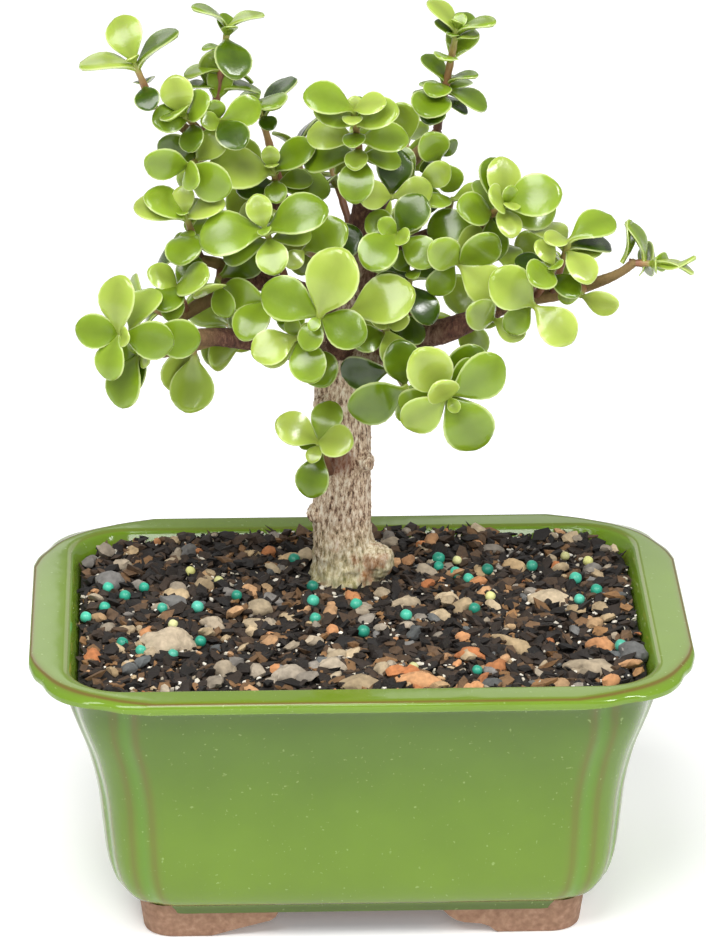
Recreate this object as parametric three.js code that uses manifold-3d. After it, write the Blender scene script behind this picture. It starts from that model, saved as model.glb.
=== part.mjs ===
// A jade bonsai standing in a glazed clay pot, in millimetres with +Z up.
// The origin is the middle of the pot's underside, and the front faces -Y.
import * as THREE from 'three';
import { mergeVertices } from 'three/addons/utils/BufferGeometryUtils.js';
import Module from 'manifold-3d';

const wasm = await Module();
wasm.setup();

// Driving dimensions of the pot.
const POT_WIDTH = 152;
const POT_DEPTH = 110;
const POT_HEIGHT = 69;
const FOOT_HEIGHT = 6.5;
const POT_FLOOR = 12;
const DRAIN_X = 30;
const DRAIN_DIAMETER = 9;
const DRAIN_SIDES = 16;
// The pot narrows less from front to back than from side to side.
const DEPTH_TAPER = 0.87;

// The plastic screens that lie over the drain holes.
const SCREEN_SIZE = 22;
const SCREEN_THICKNESS = 1;
const SCREEN_PITCH = 6.6;
const SCREEN_OPENING = 4.8;
const SCREEN_OPENINGS = 3;

// The soil and the straight foot of the trunk that stands in it.
const GAP = 0.3;
const SOIL_EDGE = 65.8;
const SOIL_RISE = 2;
const SOIL_SPREAD_X = 46;
const SOIL_SPREAD_Y = 40;
const TRUNK_X = -2;
const TRUNK_Y = 22;
const TRUNK_FOOT_RADIUS = 9.2;
const TRUNK_FOOT_TOP = 68.2;
const TRUNK_FOOT_BOTTOM = 45;
const TRUNK_FOOT_SIDES = 18;
// The soil's edge: its inset from the rim, its clearance off the wall, and its drop there.
const SOIL_INSET = 10.9;
const SOIL_CORNER = 0.985;
const SOIL_CLEARANCE = 0.35;
const SOIL_EDGE_DROP = 0.8;

// Leaves.
const LEAF_THICKNESS = 1.3;
const LEAF_WIDTH = 0.74;
const LEAF_GROWTH = 1.06;
const LEAF_ARCH = 0.1;
const LEAF_DROOP = 0.1;
const STEM_RADIUS = 1.3;
const STEM_TIP_RADIUS = 1.05;
const STEM_TIP_LENGTH = 0.8;

// Edges that move the surface less than this are merged away after joining.
const SLIVER = 0.06;
const DEGREE = Math.PI / 180;

// Seeded random numbers from 0 to 1.
function randomFrom(seed) {
  let state = seed;
  return () => {
    state = (Math.imul(state, 1664525) + 1013904223) >>> 0;
    return state / 4294967296;
  };
}

// A closed solid from shared points and the triangles between them.
function solidFrom(points, faces) {
  return new wasm.Manifold(new wasm.Mesh({
    numProp: 3,
    vertProperties: new Float32Array(points.flat()),
    triVerts: new Uint32Array(faces.flat()),
  }));
}

// A closed solid from a three.js geometry.
function solidOfGeometry(geometry) {
  const bare = new THREE.BufferGeometry();
  const loose = geometry.index ? geometry.toNonIndexed() : geometry;
  bare.setAttribute('position', loose.getAttribute('position'));
  const merged = mergeVertices(bare, 1e-4);
  return new wasm.Manifold(new wasm.Mesh({
    numProp: 3,
    vertProperties: merged.getAttribute('position').array,
    triVerts: new Uint32Array(merged.index.array),
  }));
}

// A closed solid through rings of equally many points. Rings turn anticlockwise seen from
// the end they run to, and each end closes on a middle point.
function loft(rings, endPoint = null) {
  const count = rings[0].length;
  const points = rings.flat();
  const faces = [];
  for (let i = 0; i + 1 < rings.length; i += 1) {
    for (let j = 0; j < count; j += 1) {
      const a = i * count + j;
      const b = i * count + ((j + 1) % count);
      faces.push([a, b, b + count], [a, b + count, a + count]);
    }
  }
  const middle = (ring) => [0, 1, 2].map((k) => ring.reduce((sum, p) => sum + p[k], 0) / count);
  const start = points.length;
  points.push(middle(rings[0]));
  const end = points.length;
  points.push(endPoint ?? middle(rings[rings.length - 1]));
  const last = (rings.length - 1) * count;
  for (let j = 0; j < count; j += 1) {
    const next = (j + 1) % count;
    faces.push([start, next, j], [end, last + j, last + next]);
  }
  return solidFrom(points, faces);
}

// An upright prism with regular sides.
function prism(x, y, radius, bottom, top, sides) {
  const ring = (z) => Array.from({ length: sides }, (_, i) => {
    const angle = (i / sides) * 2 * Math.PI;
    return [x + radius * Math.cos(angle), y + radius * Math.sin(angle), z];
  });
  return loft([ring(bottom), ring(top)]);
}

function box(width, depth, height, x, y, z) {
  const geometry = new THREE.BoxGeometry(width, depth, height);
  geometry.translate(x, y, z);
  return solidOfGeometry(geometry);
}

// The heaviest single body of a solid: loose scraps and sealed hollows are left out.
function mainBody(solid) {
  const bodies = solid.decompose();
  const best = bodies.reduce((most, body) => (body.volume() > most.volume() ? body : most));
  return best.simplify(SLIVER);
}

function meshOf(name, solid, color, roughness) {
  const made = solid.getMesh();
  const geometry = new THREE.BufferGeometry();
  geometry.setAttribute('position', new THREE.BufferAttribute(made.vertProperties, 3));
  geometry.setIndex(new THREE.BufferAttribute(made.triVerts, 1));
  geometry.computeVertexNormals();
  const material = new THREE.MeshStandardMaterial({ color, roughness, metalness: 0 });
  const mesh = new THREE.Mesh(geometry, material);
  mesh.name = name;
  return mesh;
}

// The pot. Corner points are insets from the corner of the bounding rectangle, from the side
// to the front: the outside steps in and swells again, the rim's edge rounds that off, and
// the inside is a plain quarter round.
const OUTER_CORNER = [
  [0, 26], [1.2, 20.6], [3, 17], [4.7, 12], [7.7, 7.6], [12.2, 4.6], [17.2, 3], [20.8, 1.2], [26.5, 0],
];
const RIM_CORNER = [
  [0, 29], [1.4, 23], [3.9, 17], [6.3, 12.7], [9.4, 9.2], [13, 6.4], [17.4, 4], [21.6, 2.1], [28, 0],
];
const INNER_CORNER_RADIUS = 14;
const INNER_CORNER = OUTER_CORNER.map((_, i) => {
  const angle = (i / (OUTER_CORNER.length - 1)) * 90 * DEGREE;
  return [INNER_CORNER_RADIUS * (1 - Math.cos(angle)), INNER_CORNER_RADIUS * (1 - Math.sin(angle))];
});

function planRing(z, inset, corner, scale) {
  const halfX = POT_WIDTH / 2 - inset;
  const halfY = POT_DEPTH / 2 - inset * DEPTH_TAPER;
  const ring = [];
  for (const [sx, sy] of [[1, 1], [-1, 1], [-1, -1], [1, -1]]) {
    const run = corner.map(([dx, dy]) => [sx * (halfX - dx * scale), sy * (halfY - dy * scale), z]);
    if (sx * sy < 0) run.reverse();
    ring.push(...run);
  }
  return ring;
}

// Height, inset from the rim and size of the corner step, from the base to the rim.
const POT_OUTSIDE = [
  [FOOT_HEIGHT, 24.2, 0.4],
  [9, 23.5, 0.4],
  [9.5, 21.6, 0.43],
  [11.5, 19.8, 0.46],
  [15.5, 17.9, 0.5],
  [21, 16.8, 0.52],
  [35, 15.4, 0.57],
  [45, 13.3, 0.62],
  [54.5, 10, 0.7],
  [62, 7.4, 0.84],
  [65, 5.6, 0.9],
  [65.9, 0.8, 1],
  [66.6, 0, 1],
  [68.2, 0, 1],
];
const POT_INSIDE = [
  [POT_HEIGHT, 9, 1],
  [68, 9.7, 1],
  [50, 16, 0.94],
  [30, 21, 0.9],
  [POT_FLOOR, 25.2, 0.84],
];
const RIM_EDGE_INSET = 0.9;

// The feet: how far they stand in from the rim, how they narrow downward, how thick they are,
// and the outlines of the openings between them.
const FOOT_INSET = 24.3;
const FOOT_DRAFT = 1;
const FOOT_CORNER = 0.5;
const FOOT_THICKNESS = 8;
const FRONT_ARCH = [
  [-35.5, -1], [31.5, -1], [31.5, 0], [29.5, 1.6], [23.6, 2.9], [21, 3.8], [18.3, FOOT_HEIGHT],
  [-19.5, FOOT_HEIGHT], [-21.5, 4.1], [-35.5, 0],
];
const SIDE_ARCH = [
  [-20, -1], [20, -1], [20, 0], [16, 3], [12, FOOT_HEIGHT],
  [-12, FOOT_HEIGHT], [-16, 3], [-20, 0],
];

// A bar along the depth with an opening's outline.
function archBar(profile, length) {
  const shape = new THREE.Shape(profile.map(([u, v]) => new THREE.Vector2(u, v)));
  const geometry = new THREE.ExtrudeGeometry(shape, { depth: length, bevelEnabled: false });
  geometry.translate(0, 0, -length / 2);
  geometry.rotateX(90 * DEGREE);
  return geometry;
}

// A low skirt under the base, hollow in the middle, which the openings cut into four feet.
function makeFeet() {
  const top = FOOT_HEIGHT + 2;
  const skirt = loft([
    planRing(0, FOOT_INSET + FOOT_DRAFT, INNER_CORNER, FOOT_CORNER),
    planRing(top, FOOT_INSET, INNER_CORNER, FOOT_CORNER),
  ]);
  const hollowWidth = POT_WIDTH - 2 * (FOOT_INSET + FOOT_THICKNESS);
  const hollowDepth = POT_DEPTH - 2 * (FOOT_INSET * DEPTH_TAPER + FOOT_THICKNESS);
  return skirt
    .subtract(solidOfGeometry(archBar(FRONT_ARCH, POT_DEPTH)))
    .subtract(solidOfGeometry(archBar(SIDE_ARCH, POT_WIDTH).rotateZ(90 * DEGREE)))
    .subtract(box(hollowWidth, hollowDepth, 2 * top + 2, 0, 0, 0));
}

function makePot() {
  const body = loft([
    ...POT_OUTSIDE.map(([z, inset, scale]) => planRing(z, inset, OUTER_CORNER, scale)),
    planRing(POT_HEIGHT, RIM_EDGE_INSET, RIM_CORNER, 1),
    ...POT_INSIDE.map(([z, inset, scale]) => planRing(z, inset, INNER_CORNER, scale)),
  ]);
  const drain = (x) => (
    prism(x, 0, DRAIN_DIAMETER / 2, FOOT_HEIGHT - 1, POT_FLOOR + 1, DRAIN_SIDES));
  return mainBody(body.add(makeFeet()).subtract(drain(-DRAIN_X)).subtract(drain(DRAIN_X)));
}

function makeScreen(x) {
  const middle = POT_FLOOR + GAP + SCREEN_THICKNESS / 2;
  let screen = box(SCREEN_SIZE, SCREEN_SIZE, SCREEN_THICKNESS, x, 0, middle);
  for (let i = 0; i < SCREEN_OPENINGS; i += 1) {
    for (let j = 0; j < SCREEN_OPENINGS; j += 1) {
      const across = (i - (SCREEN_OPENINGS - 1) / 2) * SCREEN_PITCH;
      const along = (j - (SCREEN_OPENINGS - 1) / 2) * SCREEN_PITCH;
      const opening = box(SCREEN_OPENING, SCREEN_OPENING, SCREEN_THICKNESS * 3, x + across, along, middle);
      screen = screen.subtract(opening);
    }
  }
  return screen;
}

// The soil surface: a low mound round the trunk with shallow lumps.
function soilHeight(x, y) {
  const away = ((x - TRUNK_X) / SOIL_SPREAD_X) ** 2 + ((y - TRUNK_Y) / SOIL_SPREAD_Y) ** 2;
  const lumps = 0.35 * Math.sin(x / 4.1 + 1) * Math.cos(y / 3.7) + 0.3 * Math.sin(x / 7.3 - y / 5.9);
  return SOIL_EDGE + SOIL_RISE * Math.exp(-away) + lumps * Math.min(1, away * 3);
}

// Stones that stand out on the soil: x, y, width, depth, height, turn in degrees.
const STONES = [
  [-44, -17, 13, 9, 7, 10],
  [-58, 18, 7, 6, 6, 40],
  [-42, 13, 5, 5, 5, 0],
  [-31, -32.5, 6, 5, 5, 60],
  [-17, -35, 8, 5, 6, 35],
  [-7, -30, 6, 5, 5, 0],
  [-1, -40.5, 9, 6, 5, 15],
  [12, -39.5, 10, 5, 5, 5],
  [5, -32, 5, 4, 4, 50],
  [25, -26, 7, 4, 4, -10],
  [35, -20, 12, 4, 4, -45],
  [31, -31.5, 6, 4, 4, 20],
  [45, 6.5, 10, 7, 5, 10],
  [52, -32.5, 11, 6, 5, -10],
  [55, -20.5, 6, 5, 5, 0],
  [62, -25.5, 6, 7, 6, 30],
  [13, -13, 5, 4, 4, 70],
  [21, 5, 5, 4, 4, 0],
  [11, 2.5, 7, 4, 4, 30],
  [19, -3.5, 5, 4, 4, 0],
  [-15, 29.5, 6, 4, 4, 25],
  [38, 25, 6, 4, 4, 0],
  [33, 36, 6, 3, 3, 0],
  [9, 38, 5, 4, 3, 10],
  [-34, -7, 6, 4, 5, -30],
  [-23, 0, 6, 5, 5, 20],
];

function stone(x, y, width, depth, height, turn, random) {
  const round = new THREE.IcosahedronGeometry(1, 0);
  const bare = new THREE.BufferGeometry();
  bare.setAttribute('position', round.getAttribute('position'));
  const geometry = mergeVertices(bare, 1e-4);
  const position = geometry.getAttribute('position');
  for (let i = 0; i < position.count; i += 1) {
    const grow = 0.85 + 0.3 * random();
    position.setXYZ(i, position.getX(i) * grow, position.getY(i) * grow, position.getZ(i) * grow);
  }
  geometry.rotateX(random() * Math.PI);
  geometry.scale(width / 2, depth / 2, height / 2);
  geometry.rotateZ(turn * DEGREE);
  geometry.translate(x, y, soilHeight(x, y) + height * 0.1);
  return solidOfGeometry(geometry);
}

function makeSoil() {
  const wall = POT_INSIDE.slice(2).reverse();
  const rings = wall.map(([z, inset, scale], i) => (
    planRing(i === 0 ? z + GAP : z, inset + SOIL_CLEARANCE, INNER_CORNER, scale)));
  const edge = planRing(0, SOIL_INSET + SOIL_CLEARANCE, INNER_CORNER, SOIL_CORNER);
  for (const share of [1, 0.86, 0.66, 0.46, 0.25]) {
    rings.push(edge.map(([x, y]) => {
      const edgeDrop = share === 1 ? SOIL_EDGE_DROP : 0;
      return [x * share, y * share, soilHeight(x * share, y * share) - edgeDrop];
    }));
  }
  let soil = loft(rings, [0, 0, soilHeight(0, 0)]);
  const random = randomFrom(11);
  const stones = STONES.map((numbers) => stone(...numbers, random));
  soil = wasm.Manifold.union([soil, ...stones]);
  const recess = SCREEN_SIZE + 2 * GAP;
  const recessTop = POT_FLOOR + SCREEN_THICKNESS + 2 * GAP;
  for (const x of [-DRAIN_X, DRAIN_X]) {
    soil = soil.subtract(box(recess, recess, 4, x, 0, recessTop - 2));
  }
  const holeBottom = TRUNK_FOOT_BOTTOM - GAP;
  const holeRadius = TRUNK_FOOT_RADIUS + GAP;
  const hole = prism(TRUNK_X, TRUNK_Y, holeRadius, holeBottom, POT_HEIGHT + 5, TRUNK_FOOT_SIDES);
  return mainBody(soil.subtract(hole));
}

// A round limb through points with a radius each, bent smoothly, with a blunt end.
function limbRings(stations, sides, steps, extra, ripple) {
  const curve = new THREE.CatmullRomCurve3(stations.map(([x, y, z]) => new THREE.Vector3(x, y, z)),
    false, 'catmullrom');
  const spans = stations.length - 1;
  const side = new THREE.Vector3(1, 0, 0);
  const rings = [];
  for (let i = 0; i <= spans * steps; i += 1) {
    const at = i / steps;
    const span = Math.min(Math.floor(at), spans - 1);
    const radius = THREE.MathUtils.lerp(stations[span][3], stations[span + 1][3], at - span) + extra;
    const centre = curve.getPoint(at / spans);
    const along = curve.getTangent(at / spans);
    if (i === 0 && Math.abs(along.x) > 0.9) side.set(0, 1, 0);
    side.addScaledVector(along, -side.dot(along)).normalize();
    const up = new THREE.Vector3().crossVectors(along, side);
    const ring = [];
    for (let j = 0; j < sides; j += 1) {
      const angle = (j / sides) * 2 * Math.PI;
      const wave = 1 + ripple * (Math.sin(3 * angle + i * 0.9) + 0.7 * Math.sin(5 * angle - i * 0.6));
      const point = centre.clone()
        .addScaledVector(side, radius * wave * Math.cos(angle))
        .addScaledVector(up, radius * wave * Math.sin(angle));
      ring.push(point.toArray());
    }
    rings.push(ring);
    if (i === spans * steps) rings.end = centre.addScaledVector(along, radius * 0.6).toArray();
  }
  return rings;
}

function limb(stations, sides, steps, extra = 0, ripple = 0) {
  const rings = limbRings(stations, sides, steps, extra, ripple);
  return loft(rings, rings.end);
}

// The trunk above the soil and its limbs: x, y, z and radius along each.
const TRUNK = [[-2, 22, 66.8, 8.7], [-2, 22, 70, 8.2], [-3, 22, 77, 7.2], [-3, 22, 91, 6.9],
  [-3, 22, 104, 6.8], [-3, 22, 113, 6.7], [-3, 22, 120, 6.2]];
const LIMBS = {
  leader: [[-3, 22, 118, 6], [-3, 23, 129, 5.2], [-1, 25, 139, 4.2], [1, 26, 150, 3.4],
    [2, 24, 159, 2.6], [1, 19, 164, 2.1]],
  rightLow: [[-2, 22, 118, 5.2], [5, 20, 125, 4.4], [13, 18, 129, 3.5], [20, 15, 131, 3.1],
    [28, 13, 135, 2.4], [37, 11, 140, 1.9], [46, 9, 142, 1.6], [55, 6, 146, 1.4], [60, 4, 149, 1.1],
    [63, 3, 151.8, 1.1]],
  rightMid: [[-1, 25, 138, 3.4], [8, 24, 145, 2.9], [16, 22, 151, 2.4], [22, 19, 154, 2],
    [29, 16, 156, 1.6]],
  rightUp: [[1, 26, 150, 2.6], [6, 28, 159, 2.2], [11, 28, 166, 1.9], [16, 26, 172, 1.6],
    [19, 25, 176, 1.4]],
  leftUp: [[-2, 25, 137, 3.6], [-8, 28, 148, 3.1], [-16, 28, 157, 2.7], [-23, 26, 163, 2.4],
    [-29, 24, 169, 2.1], [-33, 22, 174, 1.8]],
  leftTop: [[-32, 22, 172, 1.6], [-34, 22, 179, 1.4], [-32, 21, 184, 1.2]],
  leftTip: [[-32, 22, 173, 1.6], [-39, 18, 180, 1.3], [-45, 15, 185, 1.1]],
  leftMid: [[-3, 23, 128, 3.8], [-11, 20, 138, 2.9], [-19, 18, 142, 2.5], [-27, 16, 144, 2.1],
    [-34, 14, 140, 1.8], [-41, 12, 136, 1.5]],
  leftMidUp: [[-25, 17, 144, 1.9], [-31, 15, 148, 1.5], [-37, 14, 150, 1.2]],
  leftLow: [[-3, 22, 119, 4.6], [-12, 16, 126, 3.3], [-22, 10, 131, 2.7], [-32, 5, 134, 2.2],
    [-41, 1, 136, 1.6], [-47, -1, 138, 1.2]],
  leftFork: [[-31, 6, 134, 1.7], [-38, 4, 132, 1.3], [-45, 2, 131, 1]],
  frontMid: [[-3, 21, 124, 3.2], [-5, 10, 133, 2.4], [-6, 4, 137, 1.6]],
};
// Knots and scars on the bark: centre, radius.
const KNOTS = [[5, 18.5, 72.5, 4.2], [-9, 20, 84, 2.6], [2.5, 17, 98, 2.4], [-7, 18, 112, 3]];

// The wood above the soil, thickened all round by the extra amount.
function woodSolids(extra) {
  const solids = [limb(TRUNK, 9, 1, extra, 0.035)];
  for (const stations of Object.values(LIMBS)) {
    const sides = stations[0][3] > 3 ? 6 : 5;
    solids.push(limb(stations, sides, 1, extra, 0.02));
  }
  for (const [x, y, z, radius] of KNOTS) {
    const knot = new THREE.IcosahedronGeometry(radius + extra, radius > 4 ? 1 : 0);
    knot.translate(x, y, z);
    solids.push(solidOfGeometry(knot));
  }
  return solids;
}

function makeTrunk() {
  const foot = prism(
    TRUNK_X, TRUNK_Y, TRUNK_FOOT_RADIUS, TRUNK_FOOT_BOTTOM, TRUNK_FOOT_TOP, TRUNK_FOOT_SIDES);
  return mainBody(wasm.Manifold.union([foot, ...woodSolids(0)]));
}

// The leafy shoots: name, root, tip, roll of the first pair, lengths of the leaf pairs from the
// tip down (0 where a leaf has fallen), how far each pair opens, and how far back each sits.
const SHOOTS = [
  ['crown', [2, 20, 165], [-1, 2, 189], 0,
    [[11.5, 8], [5, 6], [11.5, 10], [7, 8], [11, 11], [6, 7], [9, 12.7], [11.5, 0]],
    [58, 40, 52, 55, 80, 70, 100, 95], [0, 3, 6, 9, 12, 15, 18, 17.2]],
  ['front_left', [-15, 19, 140], [-21, 2, 161], 66,
    [[8, 4.5], [14.5, 14.5], [9.8, 6], [11, 9]], [40, 72, 85, 95], [0, 1.4, 3.5, 5.2]],
  ['mid_left', [-17, 27, 158], [-19, 17, 170.5], 78,
    [[5.5, 4.5], [11.4, 15.4], [7, 5], [9, 8], [0, 0], [11.5, 0]],
    [25, 68, 75, 85, 0, 95], [0, 1.8, 5, 7, 0, 9.2]],
  ['front_big', [-6, 3, 138], [-9, -9, 144], 112,
    [[16.5, 4], [11.5, 13.8], [8, 0]], [62, 75, 80], [0, 1, 2.8]],
  ['low_right', [16, 15, 127], [20, -14, 126], 58,
    [[10, 4], [14, 11.5], [14.5, 14], [11, 9], [0, 0], [11.5, 0]],
    [45, 86, 72, 104, 0, 75], [0, 1.2, 3, 5, 0, 12.6]],
  ['low_dark', [6, 19, 124], [11, 0, 123], 170,
    [[5, 14], [9, 11], [11.5, 0]], [76, 84, 115], [0, 1.5, 11.2]],
  ['trunk_shoot', [-6, 16, 96], [-9, 4, 108], 12,
    [[10.8, 10.2], [10, 5], [0, 5], [10.5, 0]], [54, 75, 80, 106], [0, 1, 2.8, 5]],
  ['left_crown', [-46, 15, 186], [-50, 13, 197], 24,
    [[11.3, 4.5], [12.2, 12.4], [7.5, 6.5]], [38, 62, 104], [0, 1.2, 6]],
  ['left_top', [-32, 21, 184], [-29, 22, 202.5], -15,
    [[8.5, 9.5], [5, 6], [5, 5], [3, 5], [7.8, 8.2], [0, 5], [7, 9.5], [8, 13], [0, 0], [11.5, 0]],
    [60, 37, 90, 78, 101, 60, 80, 4, 0, 115], [0, 2.5, 5, 7.5, 10, 12.5, 15, 17.5, 0, 2.7]],
  ['right_top', [19, 25, 177], [23, 20, 202], 115,
    [[4, 4], [9.3, 10], [7, 4], [6, 6], [7.5, 10], [8, 8], [4.5, 8.5], [10, 6], [11.8, 9.8],
      [7, 6], [6.5, 8]],
    [28, 52, 57, 54, 56, 51, 78, 90, 86, 88, 87],
    [0, 0.8, 1.7, 2.6, 8.3, 14, 14.6, 16, 17, 19, 20.5]],
  ['right_mid', [27.5, 16, 156.3], [33.5, 5, 165.5], 100,
    [[5, 5], [13.5, 9], [8.5, 11], [10.4, 14], [9, 10], [0, 11.5], [0, 11.5], [0, 10]],
    [30, 40, 62, 66, 96, 115, 75, 55], [0, 1.5, 2.8, 7, 8.5, 13.3, 4.4, 13.3]],
  ['right_end', [62, 3.5, 151.5], [67, 2, 151.8], 100,
    [[9.8, 9.3], [6, 5], [3, 9.8], [0, 0], [9.5, 8.5], [10, 0]],
    [6, 52, 108, 0, 77, 115], [0, 1, 1.8, 0, 7, 0]],
  ['left_mid_up', [-36, 14, 150.5], [-39, 8, 162.5], 75,
    [[6.5, 4], [10, 11.8], [5, 8], [6, 7.5], [7, 6], [5, 10.6], [11.5, 0], [11.5, 0]],
    [36, 62, 72, 108, 80, 112, 75, 35], [0, 1.3, 5, 7.5, 9, 10.5, 5.9, 2]],
  ['left_end', [-47, -2, 138], [-54, -11, 141], 90,
    [[13, 10.1], [6, 10.5], [0, 11.5], [0, 11.5], [0, 0], [11.5, 0]],
    [74, 42, 120, 115, 0, 115], [0, 1.2, 3.6, 10, 0, 0]],
  ['left_end_low', [-44, 1, 132], [-50, -6, 134], 90,
    [[4, 12], [6, 6], [2, 10], [0, 0], [0, 10]], [66, 50, 103, 0, 55], [0, 1.2, 3, 0, 3]],
  ['left_hang', [-37.5, 3, 135], [-37.5, 4.5, 130], 75,
    [[13, 0], [3, 6.5]], [22, 72], [0, 1.5]],
  ['left_hang_side', [-40, 2, 136.3], [-40.5, 4, 132], 105,
    [[0, 14], [4, 6]], [12, 60], [0, 1.5]],
  ['right_heart', [18, 21, 151], [23, 6, 151], 40,
    [[11, 12], [9, 9], [0, 0], [0, 11.5]], [66, 84, 0, 55], [0, 2.4, 0, 0]],
  ['heart_right', [13, 22, 148], [9, 6, 158], 30,
    [[6, 6], [10.5, 10], [10, 9], [11.5, 0]], [38, 70, 88, 55], [0, 2.2, 4.4, 0]],
  ['heart_low', [12, 18, 130], [12, 8, 148], 60,
    [[6, 5], [11.8, 9], [10, 10.5]], [38, 75, 88], [0, 2.2, 4.4]],
  ['front_big_back', [-2, 14, 131], [-2, 3, 140], 158,
    [[15.5, 6]], [74], [0]],
  ['front_left_back', [-8, 24, 146], [-12, 10, 153], -32,
    [[8, 11.3], [0, 0], [11.5, 0]], [72, 0, 75], [0, 0, 13.8]],
  ['front_low', [-9, 16, 126], [-14, -4, 137], -30,
    [[10.6, 5], [5, 11], [0, 10], [8, 9], [0, 0], [0, 11.5]],
    [68, 70, 84, 90, 0, 55], [0, 1.8, 3.6, 5.4, 0, 20]],
  ['right_round', [5, 19, 123], [7, 6, 136], 0,
    [[7, 7], [10, 9.5], [9, 9]], [40, 75, 88], [0, 2.4, 4.8]],
  ['left_round', [-12, 19, 139], [-20, 6, 142], 10,
    [[10.5, 7], [0, 11.5]], [70, 35], [0, 0]],
  ['left_crown_side', [-33, 21, 176], [-39, 12, 185], 60,
    [[9.5, 9], [9.5, 9], [8, 7], [9, 6]], [24, 48, 72, 90], [0, 2.3, 4.6, 6.9]],
  ['left_drop', [-32, 22, 173], [-38, 10, 174], 20,
    [[11, 9], [11, 7], [11.5, 0], [0, 0], [10.5, 0]], [35, 80, 75, 0, 55], [0, 3, 0, 0, 7.7]],
  ['left_top_low', [-33, 21, 181], [-31, 14, 183], -20,
    [[7, 9.5], [6, 6], [0, 0], [10, 0]], [72, 50, 0, 35], [0, 2, 0, 0]],
  ['mid_small', [-16, 28, 158.8], [-22, 28, 182], 70,
    [[12, 6.5], [4, 4], [5.2, 5.6], [11.5, 0]], [68, 50, 106, 55], [0, 1.4, 2.8, 3.4]],
  ['mid_dark', [-10, 28, 151], [-13, 36, 168], 0,
    [[10.5, 7], [8, 8]], [42, 75], [0, 3]],
  ['mid_under', [-11, 28, 152], [-17, 16, 160], 0,
    [[11, 8]], [75], [0]],
  ['crown_right', [6, 28, 160], [8, 12, 165], 10,
    [[9, 9], [10.5, 8]], [60, 85], [0, 2.5]],
  ['crown_drop', [11, 28, 167], [14, 16, 167], 150,
    [[8, 11.8], [9, 8]], [70, 80], [0, 2.5]],
  ['right_top_low', [16, 26, 173], [19, 20, 171], 60,
    [[10, 8], [6, 7]], [60, 80], [0, 2.5]],
  ['right_inner', [20, 20, 154], [22, 18, 162], 20,
    [[9, 9]], [60], [0]],
  ['right_upper', [45, 9, 142.5], [48, 3, 157], -5,
    [[7, 11.5], [11, 10], [10, 6], [0, 0], [0, 11.5]], [70, 88, 65, 0, 95], [0, 3, 7, 0, 2.3]],
  ['right_rosette', [41, 10, 141], [44.5, 0, 152], 60,
    [[8, 5], [12, 11], [8.5, 8]], [35, 54, 69], [0, 2.2, 4.4]],
  ['right_under', [37, 11, 140], [40, -1, 143], 50,
    [[13, 11.5], [10, 8]], [62, 85], [0, 2.2]],
  ['right_between', [33, 12, 138], [35, 6, 148], 100,
    [[9, 8]], [62], [0]],
  ['right_hang', [30, 13, 136], [31, 4, 138], 30,
    [[10, 8]], [60], [0]],
  ['right_outer_low', [52, 7, 145], [51, 3, 144], 0,
    [[5, 9]], [70], [0]],
  ['left_mid_down', [-39, 13, 137], [-41, 5, 146], 10,
    [[8, 11.7], [9, 7], [0, 0], [10, 0]], [42, 80, 0, 55], [0, 3, 0, 0]],
  ['left_twig', [-31, 15, 147], [-32, 8, 146], 60,
    [[10, 8], [11.5, 0]], [50, 115], [0, 3]],
  ['left_shade', [-22, 10, 131], [-26, 12, 130], 10,
    [[10, 10]], [60], [0]],
  ['left_fork_up', [-41, 12, 136], [-48, 12, 139], 20,
    [[9, 9], [8, 8]], [55, 80], [0, 3]],
  ['back_left', [-17, 28, 158], [-22, 44, 159], 30,
    [[6, 6], [11, 10], [10, 9]], [35, 62, 84], [0, 2.8, 5.6]],
  ['back_high', [0, 26, 150], [-6, 42, 166], 60,
    [[6, 6], [10, 11], [10, 9], [9, 9]], [35, 62, 84, 90], [0, 3.2, 6.4, 9.6]],
  ['back_right', [9, 28, 163], [13, 44, 168], 10,
    [[6, 6], [10, 10], [9, 9]], [35, 62, 84], [0, 3, 6]],
  ['back_mid', [4, 25, 143], [9, 48, 145], 40,
    [[6, 6], [11, 10], [10, 10]], [35, 62, 84], [0, 3, 6]],
  ['back_heart', [-4, 26, 142], [-11, 50, 142], 0,
    [[6, 6], [11, 10], [10, 10]], [35, 62, 84], [0, 3, 6]],
  ['back_low_right', [20, 16, 131], [27, 42, 124], 20,
    [[6, 6], [11, 10], [10, 9]], [35, 62, 84], [0, 3, 6]],
  ['back_low_left', [-21, 11, 131], [-30, 38, 125], 50,
    [[6, 6], [11, 10], [10, 9]], [35, 62, 84], [0, 3, 6]],
  ['back_low', [-2, 27, 121], [0, 50, 122], 70,
    [[6, 6], [11, 10], [10, 10]], [35, 62, 84], [0, 3, 6]],
  ['back_far_right', [39, 11, 140], [44, 32, 140], 30,
    [[6, 6], [10, 9], [9, 8]], [35, 62, 84], [0, 3, 6]],
];

// Half width of a leaf, as a share of its width, along its length.
const LEAF_STATIONS = [0, 0.16, 0.36, 0.6, 0.8, 0.93, 1];
const LEAF_HALF_WIDTHS = [0.09, 0.16, 0.36, 0.5, 0.43, 0.25, 0];

function halfWidth(t) {
  if (t <= 0) return LEAF_HALF_WIDTHS[0];
  for (let i = 1; i < LEAF_STATIONS.length; i += 1) {
    if (t <= LEAF_STATIONS[i]) {
      const share = (t - LEAF_STATIONS[i - 1]) / (LEAF_STATIONS[i] - LEAF_STATIONS[i - 1]);
      return LEAF_HALF_WIDTHS[i - 1] + share * (LEAF_HALF_WIDTHS[i] - LEAF_HALF_WIDTHS[i - 1]);
    }
  }
  return 0;
}

// How far a leaf rises off its straight line, as a share of its length.
function leafRise(t) {
  return LEAF_ARCH * Math.sin(Math.PI * t) - LEAF_DROOP * t * t;
}

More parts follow.
